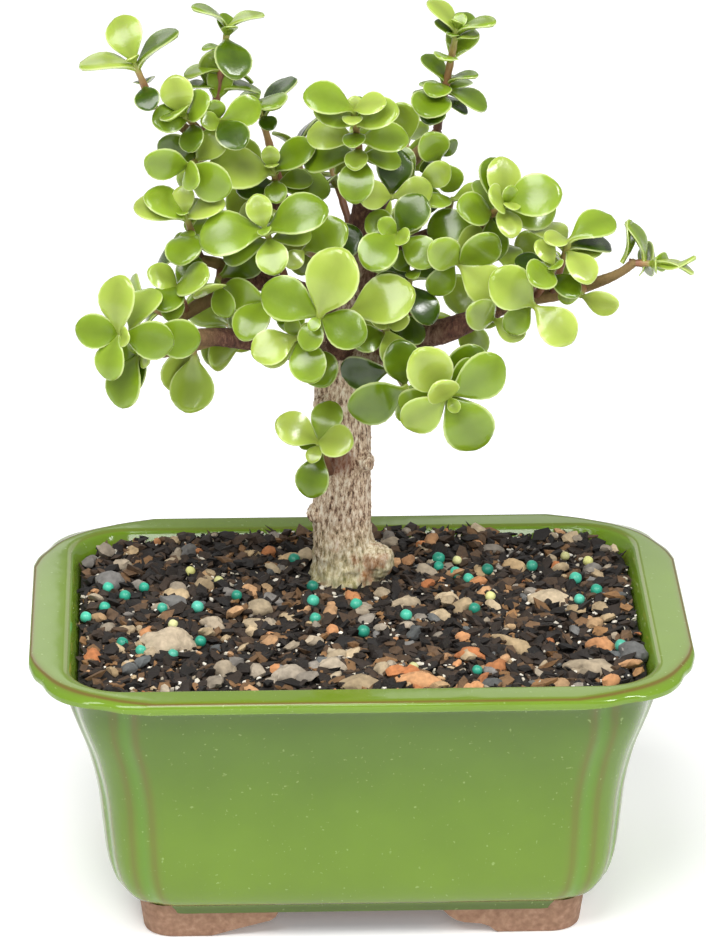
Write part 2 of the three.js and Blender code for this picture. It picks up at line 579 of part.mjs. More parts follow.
function leafPoint(leaf, t, across, lift) {
  return leaf.base.clone()
    .addScaledVector(leaf.along, leaf.length * t)
    .addScaledVector(leaf.normal, leaf.length * leafRise(t) + lift)
    .addScaledVector(leaf.across, across * halfWidth(t) * leaf.length * LEAF_WIDTH);
}

// Two directions across a stem, the first level.
function stemFrame(axis) {
  const reference = Math.abs(axis.z) < 0.95 ? new THREE.Vector3(0, 0, 1) : new THREE.Vector3(0, -1, 0);
  const side = new THREE.Vector3().crossVectors(axis, reference).normalize();
  return [side, new THREE.Vector3().crossVectors(side, axis)];
}

// A leaf bent towards its upper face and turned in its own plane, in degrees.
function bentLeaf(leaf, bend, turn, size) {
  const b = bend * DEGREE;
  const s = turn * DEGREE;
  const along = leaf.along.clone().multiplyScalar(Math.cos(b)).addScaledVector(leaf.normal, Math.sin(b));
  const normal = leaf.normal.clone().multiplyScalar(Math.cos(b)).addScaledVector(leaf.along, -Math.sin(b));
  const across = new THREE.Vector3().crossVectors(normal, along);
  along.multiplyScalar(Math.cos(s)).addScaledVector(across, Math.sin(s));
  across.crossVectors(normal, along);
  return { ...leaf, along, normal, across, length: leaf.length * size };
}

// Pairs of leaves stand crosswise up the stem, as on the living plant.
function leavesOf([name, root, tip, roll, pairs, opens, backs]) {
  const start = new THREE.Vector3(...root);
  const end = new THREE.Vector3(...tip);
  const axis = end.clone().sub(start).normalize();
  const [side, up] = stemFrame(axis);
  const leaves = [];
  pairs.forEach((pair, i) => {
    const turn = (roll + 90 * i) * DEGREE;
    const open = opens[i] * DEGREE;
    const outward = side.clone().multiplyScalar(Math.cos(turn)).addScaledVector(up, Math.sin(turn));
    pair.forEach((length, which) => {
      if (length === 0) return;
      const sign = which === 0 ? 1 : -1;
      const along = axis.clone()
        .multiplyScalar(Math.cos(open))
        .addScaledVector(outward, sign * Math.sin(open));
      const normal = axis.clone().addScaledVector(along, -axis.dot(along)).normalize();
      const across = new THREE.Vector3().crossVectors(normal, along);
      const base = end.clone().addScaledVector(axis, -backs[i]);
      leaves.push({ name, base, along, normal, across, length: length * LEAF_GROWTH });
    });
  });
  return leaves;
}

const SAMPLES_ALONG = [0.16, 0.3, 0.44, 0.58, 0.72, 0.85, 0.97];
const SAMPLES_ACROSS = [-1, -0.5, 0, 0.5, 1];
const LEAF_CLEARANCE = 1.7;
const EDGE_CLEARANCE = 0.6;
const WOOD_CLEARANCE = 1.1;
const WOOD_GAP = 0.4;

function samplesOf(leaf) {
  return SAMPLES_ALONG.flatMap((t) => SAMPLES_ACROSS.map((across) => leafPoint(leaf, t, across, 0)));
}

function touchesLeaf(samples, leaf) {
  return samples.some((point) => {
    const offset = point.clone().sub(leaf.base);
    const t = offset.dot(leaf.along) / leaf.length;
    if (t < 0.02 || t > 1.05) return false;
    const across = Math.abs(offset.dot(leaf.across));
    if (across > halfWidth(Math.min(t, 0.97)) * leaf.length * LEAF_WIDTH + EDGE_CLEARANCE) return false;
    return Math.abs(offset.dot(leaf.normal) - leafRise(t) * leaf.length) < LEAF_CLEARANCE;
  });
}

function nearestOnSegment(point, from, to) {
  const run = to.clone().sub(from);
  const share = THREE.MathUtils.clamp(point.clone().sub(from).dot(run) / run.lengthSq(), 0, 1);
  return [point.distanceTo(from.clone().addScaledVector(run, share)), share];
}

function touchesWood(samples, segments, name) {
  return segments.some((segment) => segment.name !== name && samples.some((point) => {
    const [distance, share] = nearestOnSegment(point, segment.from, segment.to);
    const radius = THREE.MathUtils.lerp(segment.fromRadius, segment.toRadius, share);
    return distance < radius + WOOD_CLEARANCE;
  }));
}

function woodSegments() {
  const segments = [];
  for (const stations of [TRUNK, ...Object.values(LIMBS)]) {
    for (let i = 1; i < stations.length; i += 1) {
      const [x0, y0, z0, fromRadius] = stations[i - 1];
      const [x1, y1, z1, toRadius] = stations[i];
      const from = new THREE.Vector3(x0, y0, z0);
      segments.push({ name: '', from, to: new THREE.Vector3(x1, y1, z1), fromRadius, toRadius });
    }
  }
  for (const [name, root, tip] of SHOOTS) {
    const from = new THREE.Vector3(...root);
    const to = new THREE.Vector3(...tip);
    segments.push({ name, from, to, fromRadius: STEM_RADIUS, toRadius: STEM_TIP_RADIUS });
  }
  return segments;
}

// Leaves are set in the order of the list. One that would touch another shoot or the wood is
// bent or turned a little, then made shorter, and is left out where nothing clears it.
const BENDS = [[0, 0], [8, 0], [-8, 0], [0, 10], [0, -10], [12, 10], [12, -10], [-12, 10], [-12, -10],
  [18, 0], [-18, 0], [0, 20], [0, -20], [20, 20], [20, -20], [-20, 20], [-20, -20], [28, 0], [-28, 0]];
const SIZES = [1, 0.85, 0.72];

function placeLeaves() {
  const segments = woodSegments();
  const placed = [];
  for (const shoot of SHOOTS) {
    for (const wanted of leavesOf(shoot)) {
      let found = null;
      for (const size of SIZES) {
        for (const [bend, turn] of BENDS) {
          const leaf = bentLeaf(wanted, bend, turn, size);
          leaf.samples = samplesOf(leaf);
          const reach = (other) => leaf.base.distanceTo(other.base) < leaf.length + other.length + 2;
          const others = placed.filter((other) => other.name !== leaf.name && reach(other));
          const clear = !others.some((other) => (
            touchesLeaf(leaf.samples, other) || touchesLeaf(other.samples, leaf)))
            && !touchesWood(leaf.samples, segments, leaf.name);
          if (clear) {
            found = leaf;
            break;
          }
        }
        if (found) break;
      }
      if (found) placed.push(found);
    }
  }
  return placed;
}

// A leaf of constant thickness, split alike on both faces. It widens from a pointed foot near
// the middle of the stem, so that leaves of one shoot join the stem and not each other.
const BLADE_STATIONS = [[0.38, 1.02], [0.74, 1.04], [0.97, 1.5]];
const SMALL_BLADE_STATIONS = [[0.5, 1.05], [0.93, 1.3]];
const SMALL_LEAF = 10;
const LEAF_FOOT_START = 0.15;

function makeLeaf(leaf) {
  const half = LEAF_THICKNESS / 2;
  const stations = leaf.length < SMALL_LEAF ? SMALL_BLADE_STATIONS : BLADE_STATIONS;
  const face = (lift) => [
    leaf.base.clone().addScaledVector(leaf.along, LEAF_FOOT_START).addScaledVector(leaf.normal, lift),
    ...stations.flatMap(([t, swell]) => [
      leafPoint(leaf, t, swell, lift),
      leafPoint(leaf, t, -swell, lift),
    ]),
  ];
  const points = [...face(half), ...face(-half)];
  const count = points.length / 2;
  const pattern = [[0, 1, 2]];
  const rim = [0];
  for (let i = 1; i + 2 < count; i += 2) {
    pattern.push([i, i + 3, i + 1], [i, i + 2, i + 3]);
  }
  for (let i = 1; i < count; i += 2) {
    rim.push(i);
    rim.splice(0, 0, i + 1);
  }
  const faces = [];
  for (const [a, b, c] of pattern) {
    faces.push([a, c, b], [count + a, count + b, count + c]);
  }
  rim.forEach((a, i) => {
    const b = rim[(i + 1) % rim.length];
    faces.push([a, b, count + b], [a, count + b, count + a]);
  });
  return solidFrom(points.map((point) => point.toArray()), faces);
}

// A four-sided stem whose flat sides face the leaf pairs.
function makeStem(root, tip, roll) {
  const start = new THREE.Vector3(...root);
  const end = new THREE.Vector3(...tip);
  const axis = end.clone().sub(start).normalize();
  const [side, up] = stemFrame(axis);
  const ring = (centre, radius) => [135, 45, -45, -135].map((corner) => {
    const angle = (roll + corner) * DEGREE;
    return centre.clone()
      .addScaledVector(side, radius * Math.cos(angle))
      .addScaledVector(up, radius * Math.sin(angle))
      .toArray();
  });
  const rings = [ring(start, STEM_RADIUS), ring(end, STEM_TIP_RADIUS)];
  return loft(rings, end.addScaledVector(axis, STEM_TIP_LENGTH).toArray());
}

// Each shoot stops short of the wood it grows from.
function makeShoots() {
  const placed = placeLeaves();
  const wood = wasm.Manifold.union(woodSolids(WOOD_GAP));
  return SHOOTS.map(([name, root, tip, roll]) => {
    const leaves = placed.filter((leaf) => leaf.name === name).map(makeLeaf);
    const shoot = wasm.Manifold.union([makeStem(root, tip, roll), ...leaves]);
    return [name, mainBody(shoot.subtract(wood))];
  });
}

const bonsai = new THREE.Group();
bonsai.name = 'jade_bonsai';
bonsai.add(meshOf('pot', makePot(), 0x7fa64a, 0.25));
bonsai.add(meshOf('drain_screen_left', makeScreen(-DRAIN_X), 0x2b2b2b, 0.7));
bonsai.add(meshOf('drain_screen_right', makeScreen(DRAIN_X), 0x2b2b2b, 0.7));
bonsai.add(meshOf('soil', makeSoil(), 0x2e231d, 0.95));
bonsai.add(meshOf('trunk', makeTrunk(), 0x9c8570, 0.9));
for (const [name, solid] of makeShoots()) {
  bonsai.add(meshOf(`${name}_leaves`, solid, 0x7aa637, 0.4));
}

export default bonsai;
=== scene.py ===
# %% [markdown]
# # A jade bonsai in a glazed pot
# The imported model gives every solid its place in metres. This notebook dresses it: a glazed pot,
# gritty soil, a barked trunk and fleshy leaves, each finer than its solid and in the same place.

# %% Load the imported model
import bpy
import bmesh
import math
import numpy as np
from mathutils import Matrix, Vector, noise


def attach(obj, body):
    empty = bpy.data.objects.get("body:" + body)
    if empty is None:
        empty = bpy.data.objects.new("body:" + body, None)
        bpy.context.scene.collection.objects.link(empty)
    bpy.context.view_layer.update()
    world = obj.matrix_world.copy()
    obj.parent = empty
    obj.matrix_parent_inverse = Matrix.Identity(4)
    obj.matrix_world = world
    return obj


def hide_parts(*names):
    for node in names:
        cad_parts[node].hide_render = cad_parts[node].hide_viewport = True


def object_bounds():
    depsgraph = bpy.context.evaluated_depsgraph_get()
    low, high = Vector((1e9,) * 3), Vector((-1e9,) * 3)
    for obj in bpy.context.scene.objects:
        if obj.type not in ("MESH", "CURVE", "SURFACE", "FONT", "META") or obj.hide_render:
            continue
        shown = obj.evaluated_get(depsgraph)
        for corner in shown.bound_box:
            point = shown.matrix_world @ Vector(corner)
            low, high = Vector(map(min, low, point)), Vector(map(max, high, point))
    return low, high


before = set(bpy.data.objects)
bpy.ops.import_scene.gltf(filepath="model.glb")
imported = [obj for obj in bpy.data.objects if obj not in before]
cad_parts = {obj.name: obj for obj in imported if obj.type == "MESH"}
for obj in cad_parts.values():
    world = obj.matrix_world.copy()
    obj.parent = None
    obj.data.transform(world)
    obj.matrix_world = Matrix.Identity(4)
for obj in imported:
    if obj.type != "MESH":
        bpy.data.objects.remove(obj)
cad_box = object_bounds()
print("solids:", len(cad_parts))

# %% [markdown]
# ## Camera
# The photograph looks down by about 22 degrees from some way off, so the lens is long. The
# picture is 706 by 952 pixels, and its middle is the middle of the lens.

# %% Camera
MM = 0.001
PICTURE_HEIGHT = 952
CAMERA_ELEVATION = math.radians(22)
CAMERA_AZIMUTH = math.radians(-1.85)
CAMERA_DISTANCE = 1300 * MM
CAMERA_TARGET = Vector((-1.2, 0, 101.3)) * MM
FOCAL_PIXELS = 5641

def toward(azimuth, elevation):
    return Vector((math.sin(azimuth) * math.cos(elevation),
                   -math.cos(azimuth) * math.cos(elevation), math.sin(elevation)))

camera_data = bpy.data.cameras.new("camera")
camera_data.sensor_fit = "VERTICAL"
camera_data.sensor_height = 36
camera_data.lens = 36 * FOCAL_PIXELS / PICTURE_HEIGHT
camera_data.clip_end = 20
camera = bpy.data.objects.new("camera", camera_data)
bpy.context.scene.collection.objects.link(camera)
back = toward(CAMERA_AZIMUTH, CAMERA_ELEVATION)
camera.location = CAMERA_TARGET + back * CAMERA_DISTANCE
camera.rotation_euler = back.to_track_quat("Z", "Y").to_euler()
bpy.context.scene.camera = camera
print("lens", round(camera_data.lens, 1), "mm")

# %% [markdown]
# ## Floor and light
# The picture has a pure white ground with hardly a shadow, as on a table of white plastic that is
# lit from below. A soft lamp stands high on the left, a weaker one on the right, and a small one
# in front gives the leaves and the glaze their highlights. Two pale lamps stand behind, left and
# right, and the rim's two sides mirror them.

# %% Floor and light
def linear(colour):
    values = [int(colour[i:i + 2], 16) / 255 for i in (1, 3, 5)]
    return tuple(v / 12.92 if v <= 0.04045 else ((v + 0.055) / 1.055) ** 2.4 for v in values) + (1,)

def select_only(*pieces):
    bpy.ops.object.select_all(action="DESELECT")
    for piece in pieces:
        piece.select_set(True)
    bpy.context.view_layer.objects.active = pieces[0] if pieces else None

def new_material(name):
    material = bpy.data.materials.new(name)
    material.use_nodes = True
    return material, material.node_tree, material.node_tree.nodes["Principled BSDF"]

def add_node(tree, kind, settings=(), inputs=(), links=()):
    """A node with its settings, its unlinked values, and (own input, node, output) links."""
    node = tree.nodes.new("ShaderNode" + kind)
    for name, value in dict(settings).items():
        setattr(node, name, value)
    for name, value in dict(inputs).items():
        node.inputs[name].default_value = value
    for own, source, output in links:
        tree.links.new(source.outputs[output], node.inputs[own])
    return node

def ramp_node(tree, source, output, stops):
    node = add_node(tree, "ValToRGB", links=[("Fac", source, output)])
    elements = node.color_ramp.elements
    while len(elements) < len(stops):
        elements.new(0.5)
    for element, (position, colour) in zip(elements, stops):
        element.position = position
        element.color = linear(colour)
    return node

select_only()
bpy.ops.mesh.primitive_plane_add(size=6)
floor = bpy.context.object
floor.name = "floor"
material, tree, shader = new_material("white light table")
shader.inputs["Base Color"].default_value = linear("#fbfbfa")
shader.inputs["Roughness"].default_value = 0.8
shader.inputs["Emission Color"].default_value = (1, 1, 1, 1)
shader.inputs["Emission Strength"].default_value = 0.15
floor.data.materials.append(material)

def soft_lamp(name, azimuth, elevation, distance, size, power):
    data = bpy.data.lights.new(name, "AREA")
    data.shape = "DISK"
    data.size = size
    data.energy = power
    lamp = bpy.data.objects.new(name, data)
    direction = toward(math.radians(azimuth), math.radians(elevation))
    lamp.location = CAMERA_TARGET + direction * distance
    lamp.rotation_euler = direction.to_track_quat("Z", "Y").to_euler()
    bpy.context.scene.collection.objects.link(lamp)
    return lamp

soft_lamp("key lamp", -30, 58, 1.5, 1.1, 22)
soft_lamp("fill lamp", 55, 45, 1.6, 0.4, 11)
soft_lamp("front lamp", 4, 30, 2.2, 0.5, 6)
soft_lamp("left back lamp", 195, 24, 1.7, 0.7, 1.5)
soft_lamp("right back lamp", 165, 24, 1.7, 0.7, 1.0)
world = bpy.data.worlds.new("white studio")
world.use_nodes = True
world.node_tree.nodes["Background"].inputs["Color"].default_value = (1, 1, 1, 1)
world.node_tree.nodes["Background"].inputs["Strength"].default_value = 0.42
bpy.context.scene.world = world
bpy.context.scene.view_settings.view_transform = "Standard"

# %% [markdown]
# ## The pot's outline
# The pot is a pressed rectangular bonsai pot. Its corners step in and swell again, so a
# corner is a short run of points from the side to the front. The same run, scaled, serves every
# height. The rim's edge rounds the step off, and the inside has plain round corners.

# %% The pot's outline
POT_WIDTH = 152
POT_DEPTH = 110
POT_HEIGHT = 69
FOOT_HEIGHT = 6.5
POT_FLOOR = 12
DEPTH_TAPER = 0.87
OUTER_CORNER = [(0, 26), (1.2, 20.6), (3, 17), (4.7, 12), (7.7, 7.6), (12.2, 4.6), (17.2, 3),
                (20.8, 1.2), (26.5, 0)]
RIM_CORNER = [(0, 29), (1.4, 23), (3.9, 17), (6.3, 12.7), (9.4, 9.2), (13, 6.4), (17.4, 4),
              (21.6, 2.1), (28, 0)]
INNER_CORNER_RADIUS = 14
CORNER_STEPS = 4

def smooth_run(points, steps):
    """Points on a smooth curve through the given ones, a given number of steps between each two."""
    run = []
    for i in range(len(points) - 1):
        before = points[max(i - 1, 0)]
        after = points[min(i + 2, len(points) - 1)]
        for step in range(steps):
            t = step / steps
            run.append([0.5 * (2 * b + (c - a) * t + (2 * a - 5 * b + 4 * c - d) * t * t
                               + (3 * b - a - 3 * c + d) * t ** 3)
                        for a, b, c, d in zip(before, points[i], points[i + 1], after)])
    run.append(list(points[-1]))
    return run

OUTER_RUN = smooth_run(OUTER_CORNER, CORNER_STEPS)
RIM_RUN = smooth_run(RIM_CORNER, CORNER_STEPS)
INNER_RUN = [[INNER_CORNER_RADIUS * (1 - math.cos(a)), INNER_CORNER_RADIUS * (1 - math.sin(a))]
             for a in [math.pi / 2 * i / (len(OUTER_RUN) - 1) for i in range(len(OUTER_RUN))]]

def plan_ring(z, inset, run, scale):
    half_x = POT_WIDTH / 2 - inset
    half_y = POT_DEPTH / 2 - inset * DEPTH_TAPER
    ring = []
    for sx, sy in ((1, 1), (-1, 1), (-1, -1), (1, -1)):
        part = [Vector((sx * (half_x - dx * scale), sy * (half_y - dy * scale), z)) * MM for dx, dy in run]
        ring += part if sx * sy > 0 else part[::-1]
    return ring

def between_runs(first, second, share):
    return [[a + (b - a) * share for a, b in zip(p, q)] for p, q in zip(first, second)]

def draw_rings(name, rings, close_start=True, close_end=True):
    """A circle is placed on the first ring, then extruded and placed ring by ring."""
    select_only()
    bpy.ops.mesh.primitive_circle_add(vertices=len(rings[0]), radius=0.01)
    piece = bpy.context.object
    piece.name = name
    bpy.ops.object.mode_set(mode="EDIT")
    bpy.ops.mesh.select_mode(type="EDGE")
    bpy.ops.mesh.select_all(action="SELECT")
    mesh = bmesh.from_edit_mesh(piece.data)
    place = mesh.verts.layers.int.new("place")
    mesh.verts.ensure_lookup_table()
    for vertex in mesh.verts:
        vertex[place] = vertex.index
    for count, ring in enumerate(rings):
        if count:
            bpy.ops.mesh.extrude_edges_move()
        mesh = bmesh.from_edit_mesh(piece.data)
        place = mesh.verts.layers.int["place"]
        for vertex in mesh.verts:
            if vertex.select:
                vertex.co = ring[vertex[place]]
        if (count == 0 and close_start) or (count == len(rings) - 1 and close_end):
            loop = [edge for edge in mesh.edges if edge.select]
            bmesh.ops.holes_fill(mesh, edges=loop, sides=0)
            for face in mesh.faces:
                face.select = False
            for edge in loop:
                edge.select = True
        bmesh.update_edit_mesh(piece.data)
    bpy.ops.mesh.select_all(action="SELECT")
    bpy.ops.mesh.normals_make_consistent(inside=False)
    bpy.ops.object.mode_set(mode="OBJECT")
    return piece

print("points in a corner:", len(OUTER_RUN))

# %% [markdown]
# ## The pot's body
# One skin runs from the base up the outside, over the flat rim and down the inside to the floor.
# Heights, insets and the size of the corner step were measured from the picture. Under it stands
# a low skirt, cut by two arches into four feet, and two holes let water out.

# %% The pot's body
OUTSIDE = [(6.5, 24.2, 0.4), (7.6, 23.95, 0.4), (8.6, 23.6, 0.4), (9, 23.3, 0.4), (9.2, 22.9, 0.4),
           (9.4, 21.9, 0.42), (9.8, 21.2, 0.44), (10.5, 20.5, 0.45), (11.5, 19.8, 0.46), (13.3, 18.7, 0.48),
           (15.5, 17.9, 0.5), (18, 17.3, 0.51), (21, 16.8, 0.52), (25, 16.4, 0.535), (30, 15.9, 0.55),
           (35, 15.4, 0.57), (40, 14.5, 0.595), (45, 13.3, 0.62), (48, 12.4, 0.64), (51.5, 11.1, 0.67),
           (54.5, 10, 0.7), (58, 8.7, 0.76), (61, 7.7, 0.82), (63, 6.9, 0.86), (64.3, 6.2, 0.88),
           (65, 5.2, 0.9), (65.4, 3.8, 0.94), (65.7, 2, 0.98), (65.95, 0.8, 1), (66.3, 0.2, 1),
           (66.8, 0, 1), (67.5, 0, 1)]
RIM_EDGE = [(67.9, 0, 0.2), (68.2, 0.02, 0.5), (68.45, 0.15, 0.8), (68.65, 0.35, 1), (68.8, 0.6, 1),
            (68.9, 0.95, 1), (68.97, 1.4, 1), (69, 2.2, 1)]
INSIDE = [(69, 7.6, 1), (68.95, 8.2, 1), (68.8, 8.7, 1), (68.5, 9.15, 1), (68, 9.6, 1), (64, 11.1, 0.985),
          (58, 13.2, 0.965), (50, 16, 0.94), (40, 18.6, 0.92), (30, 21, 0.9), (20, 23.2, 0.87), (14, 24.6, 0.85),
          (12, 25.2, 0.84)]
FOOT_INSET = 24.3
DRAIN_X = 30
DRAIN_RADIUS = 4.5
FRONT_ARCH = [(-35.5, -1), (31.5, -1), (31.5, 0), (30.6, 0.7), (29.5, 1.7), (27.5, 2.5), (23.6, 2.9), (21.8, 3.5),
              (20, 4.8), (18.4, 6.5), (-19.5, 6.5), (-20.2, 5), (-21.5, 4.1), (-28.5, 2.2), (-34.6, 0.35), (-35.5, 0)]
SIDE_ARCH = [(-20, -1), (20, -1), (20, 0), (16, 3), (12, 6.5), (-12, 6.5), (-16, 3), (-20, 0)]

def use_boolean(piece, tool, operation):
    select_only(piece)
    modifier = piece.modifiers.new("cut", "BOOLEAN")
    modifier.operation = operation
    modifier.solver = "EXACT"
    modifier.object = tool
    bpy.ops.object.modifier_apply(modifier=modifier.name)
    bpy.data.objects.remove(tool)

def arch_tool(profile, along_y):
    """A bar with the arch's outline: a face drawn on one side and extruded through the pot."""
    reach = 90 * MM
    if along_y:
        ring = [Vector((u * MM, -reach, v * MM)) for u, v in profile]
        far = [point + Vector((0, 2 * reach, 0)) for point in ring]
    else:
        ring = [Vector((-reach, u * MM, v * MM)) for u, v in profile]
        far = [point + Vector((2 * reach, 0, 0)) for point in ring]
    return draw_rings("arch", [ring, far])

pot = draw_rings("glazed_pot", [plan_ring(z, o, OUTER_RUN, s) for z, o, s in OUTSIDE]
                 + [plan_ring(z, o, between_runs(OUTER_RUN, RIM_RUN, share), 1) for z, o, share in RIM_EDGE]
                 + [plan_ring(z, o, INNER_RUN, s) for z, o, s in INSIDE])
feet = draw_rings("feet", [plan_ring(0, FOOT_INSET + 1.6, INNER_RUN, 0.5), plan_ring(0.2, FOOT_INSET + 1.2, INNER_RUN, 0.5),
                           plan_ring(0.7, FOOT_INSET + 1, INNER_RUN, 0.5),
                           plan_ring(FOOT_HEIGHT + 2, FOOT_INSET, INNER_RUN, 0.5)])
use_boolean(feet, arch_tool(FRONT_ARCH, True), "DIFFERENCE")
use_boolean(feet, arch_tool(SIDE_ARCH, False), "DIFFERENCE")
select_only()
bpy.ops.mesh.primitive_cube_add(size=1, location=(0, 0, 4 * MM))
middle = bpy.context.object
middle.scale = (87.4 * MM, 51.7 * MM, 12 * MM)
bpy.ops.object.transform_apply(location=True, rotation=True, scale=True)
use_boolean(feet, middle, "DIFFERENCE")
use_boolean(pot, feet, "UNION")
for x in (-DRAIN_X, DRAIN_X):
    select_only()
    bpy.ops.mesh.primitive_cylinder_add(vertices=40, radius=DRAIN_RADIUS * MM, depth=12 * MM,
                                        location=(x * MM, 0, 9 * MM))
    drill = bpy.context.object
    bpy.ops.object.transform_apply(location=True, rotation=True, scale=True)
    use_boolean(pot, drill, "DIFFERENCE")
print("pot faces:", len(pot.data.polygons))

# %% [markdown]
# ## Where the glaze is thick and thin
# A running glaze draws back from edges, where the clay shows through brown, and gathers in
# grooves, where it is deep and bright. Two numbers for each point say how thin and how deep
# the glaze is there, so that the colour follows the form from every side.

# %% Thick and thin glaze
GROOVES = [(3, 17), (17.2, 3)]
RIDGE_DISTANCE = 2.6

def near(value, width):
    return math.exp(-(value / width) ** 2)

def groove_distance(x, y, z):
    """How far a point of the wall is from the nearest groove beside a corner, in mm."""
    heights = [row[0] for row in OUTSIDE]
    inset = np.interp(z, heights, [row[1] for row in OUTSIDE])
    scale = np.interp(z, heights, [row[2] for row in OUTSIDE])
    u = POT_WIDTH / 2 - inset - abs(x)
    v = POT_DEPTH / 2 - inset * DEPTH_TAPER - abs(y)
    return min(math.hypot(u - gu * scale, v - gv * scale) for gu, gv in GROOVES)

def rim_place(x, y):
    """How far a point lies in from the rim's outer edge, in mm, measured from whichever side is nearest."""
    out_x, out_y = POT_WIDTH / 2 - abs(x), (POT_DEPTH / 2 - abs(y)) / DEPTH_TAPER
    corner = math.hypot(max(29 - out_x, 0), max(29 - out_y, 0))
    return min(out_x, out_y, 29 - corner if corner > 0 else 99)

thin_values, deep_values = [], []
for vertex in pot.data.vertices:
    x, y, z = vertex.co / MM
    distance = groove_distance(x, y, z)
    wall = 9 < z < 66.5 and (abs(x) > POT_WIDTH / 2 - 27 or abs(y) > POT_DEPTH / 2 - 24)
    thin = 0.0
    if wall:
        thin = 0.46 * near(distance - RIDGE_DISTANCE, 0.9) + 0.55 * near(z - 9.7, 0.5)
    if z > 68.1:
        outer = vertex.normal.z < 0.97 and rim_place(x, y) < 6
        thin = near(z - 68.72, 0.2) if outer else 0.45 * near(z - 68.85, 0.13)
    thin_values.append(min(thin, 1))
    deep_values.append(0.5 * near(distance, 1.3) if wall else 0)
for name, values in (("thin_glaze", thin_values), ("deep_glaze", deep_values)):
    layer = pot.data.attributes.new(name, "FLOAT", "POINT")
    layer.data.foreach_set("value", values)
print("thin glaze points:", sum(v > 0.3 for v in thin_values))

# %% [markdown]
# ## Glaze and bare clay
# The glaze is a green copper ash glaze over buff stoneware: glassy, slightly pooled, with faint
# streaks and a few pinholes. The feet are left bare so that they don't stick in the kiln.

# %% Glaze and bare clay
def attribute_node(tree, name):
    return add_node(tree, "Attribute", {"attribute_name": name})

glaze, tree, shader = new_material("green ash glaze on stoneware")
place = add_node(tree, "TexCoord")
position = add_node(tree, "SeparateXYZ", links=[("Vector", place, "Object")])
height = add_node(tree, "MapRange", inputs={"From Min": 0.008, "From Max": 0.066},
                  links=[("Value", position, "Z")])
# The wall's green darkens just under the rim (ramp stops 0.85 to 0.96): painted shade where the rim overhangs the wall.
body = ramp_node(tree, height, "Result", [(0, "#4e6222"), (0.03, "#607824"), (0.06, "#67831e"), (0.45, "#5f7c1c"),
                                           (0.85, "#54701d"), (0.96, "#4c641e"), (1, "#6b8a24")])
# Clouds about 20 mm across and fine streaks of 2 mm, as the glaze ran in firing.
clouds = add_node(tree, "TexNoise", inputs={"Scale": 50, "Detail": 4}, links=[("Vector", place, "Object")])
cloudy = add_node(tree, "Mix", {"data_type": "RGBA", "blend_type": "OVERLAY"}, {"Factor": 0.15},
                  [("A", body, "Color"), ("B", clouds, "Fac")])
specks = add_node(tree, "TexNoise", inputs={"Scale": 900, "Detail": 2}, links=[("Vector", place, "Object")])
speck_mask = ramp_node(tree, specks, "Fac", [(0.69, "#000000"), (0.74, "#ffffff")])
deep = attribute_node(tree, "deep_glaze")
pooled = add_node(tree, "Mix", {"data_type": "RGBA"}, {"B": linear("#5c8826")},
                  [("Factor", deep, "Fac"), ("A", cloudy, "Result")])
thin = attribute_node(tree, "thin_glaze")
worn = add_node(tree, "Mix", {"data_type": "RGBA"}, {"B": linear("#6c5526")},
                [("Factor", thin, "Fac"), ("A", pooled, "Result")])
speck_share = add_node(tree, "Math", {"operation": "MULTIPLY"}, {1: 0.4}, [(0, speck_mask, "Color")])
specked = add_node(tree, "Mix", {"data_type": "RGBA"}, {"B": linear("#a9bd78")},
                   [("Factor", speck_share, "Value"), ("A", worn, "Result")])
tree.links.new(specked.outputs["Result"], shader.inputs["Base Color"])
shader.inputs["Roughness"].default_value = 0.12
shader.inputs["IOR"].default_value = 1.46
shader.inputs["Specular IOR Level"].default_value = 0.45
shader.inputs["Coat Weight"].default_value = 0.1
shader.inputs["Coat Roughness"].default_value = 0.04
# Slow waves of 12 mm and a faint orange-peel of 1.5 mm in the glassy skin.
waves = add_node(tree, "TexNoise", inputs={"Scale": 80, "Detail": 3}, links=[("Vector", place, "Object")])
bump = add_node(tree, "Bump", inputs={"Strength": 0.12, "Distance": 0.001}, links=[("Height", waves, "Fac")])
tree.links.new(bump.outputs["Normal"], shader.inputs["Normal"])

clay, tree, shader = new_material("bare fired stoneware")
place = add_node(tree, "TexCoord")
grains = add_node(tree, "TexNoise", inputs={"Scale": 700, "Detail": 5}, links=[("Vector", place, "Object")])
tone = ramp_node(tree, grains, "Fac", [(0.3, "#805f4a"), (0.55, "#93715b"), (0.75, "#a5836c")])
tree.links.new(tone.outputs["Color"], shader.inputs["Base Color"])
shader.inputs["Roughness"].default_value = 0.85
bump = add_node(tree, "Bump", inputs={"Strength": 0.3, "Distance": 0.0004}, links=[("Height", grains, "Fac")])
tree.links.new(bump.outputs["Normal"], shader.inputs["Normal"])

def finish_piece(piece, materials, nodes, smooth_angle=35):
    piece.data.materials.clear()
    for material in materials:
        piece.data.materials.append(material)
    select_only(piece)
    bpy.ops.object.shade_smooth_by_angle(angle=math.radians(smooth_angle))
    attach(piece, "root")
    if nodes:
        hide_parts(*nodes)

finish_piece(pot, [glaze, clay], ["pot"], 38)
for face in pot.data.polygons:
    face.material_index = 1 if face.center.z < FOOT_HEIGHT * MM + 0.0003 else 0

# %% [markdown]
# ## Drain screens
# Each drain hole is covered by a square of black plastic mesh. The solids already have the right
# shape, so they only get their finish: moulded polyethylene, dull and a little scratched.

# %% Drain screens
screen_plastic, tree, shader = new_material("moulded black polyethylene")
place = add_node(tree, "TexCoord")
scratches = add_node(tree, "TexNoise", inputs={"Scale": 500, "Detail": 3}, links=[("Vector", place, "Object")])
tone = ramp_node(tree, scratches, "Fac", [(0.3, "#18191a"), (0.7, "#2c2d2e")])
tree.links.new(tone.outputs["Color"], shader.inputs["Base Color"])
shader.inputs["Roughness"].default_value = 0.55
for name in ("drain_screen_left", "drain_screen_right"):
    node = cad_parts[name]
    node.data.materials.clear()
    node.data.materials.append(screen_plastic)

